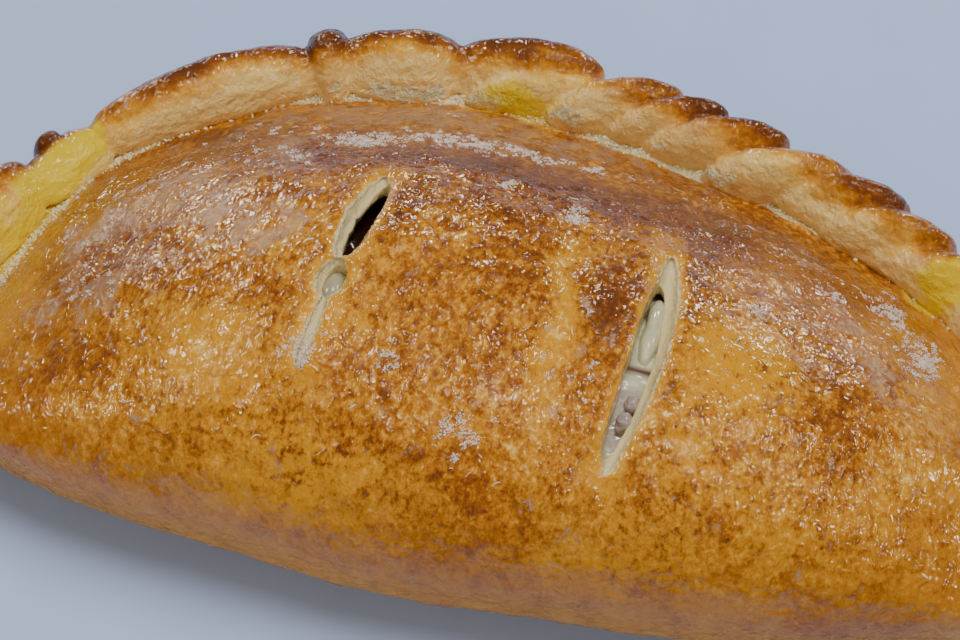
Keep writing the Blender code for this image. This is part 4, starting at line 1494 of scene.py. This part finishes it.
# ----------------------------------------------------------------------------- stage


def aimed(item, target):
    item.rotation_euler = (Vector(target) - item.location).to_track_quat("-Z", "Y").to_euler()


def add_light(name, location, target, sides, power, tint):
    """A rectangular light of the given width and depth, aimed at the target."""
    data = bpy.data.lights.new(name, "AREA")
    data.shape = "RECTANGLE"
    data.energy = power
    data.size, data.size_y = sides
    data.color = tint
    light = bpy.data.objects.new(name, data)
    bpy.context.scene.collection.objects.link(light)
    light.location = location
    aimed(light, target)
    return light


def make_stage(stage):
    """Camera, soft lights, surrounding light and the pale table."""
    add_camera(stage)
    for name, place, side, power, tint in (
        ("overhead", (0.10, 0.16, 0.75), 0.5, stage.key_power, COOL),
        ("front_fill", (-0.2, -0.75, 0.45), 0.6, stage.key_power * 0.40, WARM),
    ):
        add_light(name, place, LIT_POINT, (side, side), power, tint).visible_glossy = False
    for number, place in enumerate(LAMPS):
        lamp = add_light(f"lamp_{number + 1}", place, LIT_POINT, LAMP_SIDES, stage.lamp_power, AMBER)
        lamp.visible_diffuse = False
    world = bpy.data.worlds.new("surroundings")
    world.use_nodes = True
    sky = world.node_tree.nodes["Background"]
    sky.inputs["Color"].default_value = (1.0, 0.98, 0.95, 1.0)
    sky.inputs["Strength"].default_value = stage.sky
    bpy.context.scene.world = world
    mesh = bpy.data.meshes.new("table_top")
    shape = bmesh.new()
    bmesh.ops.create_grid(shape, x_segments=2, y_segments=2, size=TABLE_REACH)
    bmesh.ops.translate(shape, verts=shape.verts, vec=(0.0, 0.0, -TABLE_DROP))
    shape.to_mesh(mesh)
    shape.free()
    piece_of("table_top", mesh, table_material(stage.table))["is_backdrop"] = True


def add_camera(stage):
    """The scene's camera, at its angles and distance from the target."""
    target = Vector(stage.target)
    flat, up = math.cos(stage.elevation), math.sin(stage.elevation)
    back = Vector((math.sin(stage.azimuth) * flat, -math.cos(stage.azimuth) * flat, up))
    data = bpy.data.cameras.new("camera")
    data.lens = stage.lens
    data.clip_start = 0.01
    camera = bpy.data.objects.new("camera", data)
    bpy.context.scene.collection.objects.link(camera)
    camera.location = target + back * stage.distance
    aimed(camera, target)
    bpy.context.scene.camera = camera


# ------------------------------------------------------------------------- operators


def current_form():
    return Form(bpy.context.scene.calzone_form)


class CalzoneCrustOperator(bpy.types.Operator):
    """Build the dough body with its hollow, slits and baked surface"""

    bl_idname = "calzone.crust"
    bl_label = "Crust"

    def execute(self, context):
        material = material_named("baked_crust", crust_material, context.scene.calzone_colours)
        make_crust(current_form(), context.scene.calzone_relief, material)
        return {"FINISHED"}


class CalzoneRopeOperator(bpy.types.Operator):
    """Build the twisted rope of dough along the rim"""

    bl_idname = "calzone.rope"
    bl_label = "Rope rim"

    def execute(self, context):
        material = material_named("baked_crust", crust_material, context.scene.calzone_colours)
        make_rope(current_form(), context.scene.calzone_relief, material)
        return {"FINISHED"}


class CalzoneFillingOperator(bpy.types.Operator):
    """Build the melted filling and the diced ham that show in the slits"""

    bl_idname = "calzone.filling"
    bl_label = "Filling and ham"

    def execute(self, context):
        form = current_form()
        colours = context.scene.calzone_colours
        make_filling(form, material_named("melted_filling", filling_material, colours))
        ham = material_named("diced_ham", ham_material, colours)
        for number in range(len(HAM)):
            make_ham(form, number, ham)
        return {"FINISHED"}


class CalzoneCheeseOperator(bpy.types.Operator):
    """Scatter crumbs and shreds of grated cheese over the crust"""

    bl_idname = "calzone.cheese"
    bl_label = "Grated cheese"

    def execute(self, context):
        crust = context.scene.objects.get("crust_body")
        if crust is None:
            raise RuntimeError("the crust comes before the grated cheese")
        material = material_named("grated_cheese", grated_material, context.scene.calzone_colours)
        seam = material_named("seam_crumbs", seam_material, context.scene.calzone_colours)
        make_cheese(current_form(), context.scene.calzone_relief, material, seam, crust)
        return {"FINISHED"}


class CalzoneStageOperator(bpy.types.Operator):
    """Add the table, the lights and the camera"""

    bl_idname = "calzone.stage"
    bl_label = "Stage"

    def execute(self, context):
        make_stage(context.scene.calzone_stage)
        return {"FINISHED"}


class CalzonePanel(bpy.types.Panel):
    """Lists the calzone's settings and the steps that build it"""

    bl_idname = "VIEW3D_PT_calzone"
    bl_label = "Calzone"
    bl_space_type = "VIEW_3D"
    bl_region_type = "UI"
    bl_category = "Calzone"

    def draw(self, context):
        for group_name in SETTINGS:
            box = self.layout.box()
            box.label(text=group_name.replace("_", " "))
            group = getattr(context.scene, group_name)
            for prop in group.bl_rna.properties:
                if prop.identifier not in ("name", "rna_type"):
                    box.prop(group, prop.identifier)
        for step in STEPS:
            self.layout.operator(step.bl_idname)


SETTINGS = {
    "calzone_form": CalzoneFormSettings,
    "calzone_relief": CalzoneReliefSettings,
    "calzone_colours": CalzoneColourSettings,
    "calzone_stage": CalzoneStageSettings,
}
STEPS = (CalzoneCrustOperator, CalzoneRopeOperator, CalzoneFillingOperator, CalzoneCheeseOperator,
         CalzoneStageOperator)


def register():
    for item in (*SETTINGS.values(), *STEPS, CalzonePanel):
        bpy.utils.register_class(item)
    for name, group in SETTINGS.items():
        setattr(bpy.types.Scene, name, PointerProperty(type=group))


def unregister():
    for name in SETTINGS:
        delattr(bpy.types.Scene, name)
    for item in reversed((*SETTINGS.values(), *STEPS, CalzonePanel)):
        bpy.utils.unregister_class(item)


def main():
    register()
    bpy.ops.calzone.crust()
    bpy.ops.calzone.rope()
    bpy.ops.calzone.filling()
    bpy.ops.calzone.cheese()
    bpy.ops.calzone.stage()
    boxes = {"cad": CAD_BOX, "visual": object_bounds()}
    boxes = {name: [list(corner) for corner in box] for name, box in boxes.items()}


if __name__ == "__main__":
    main()
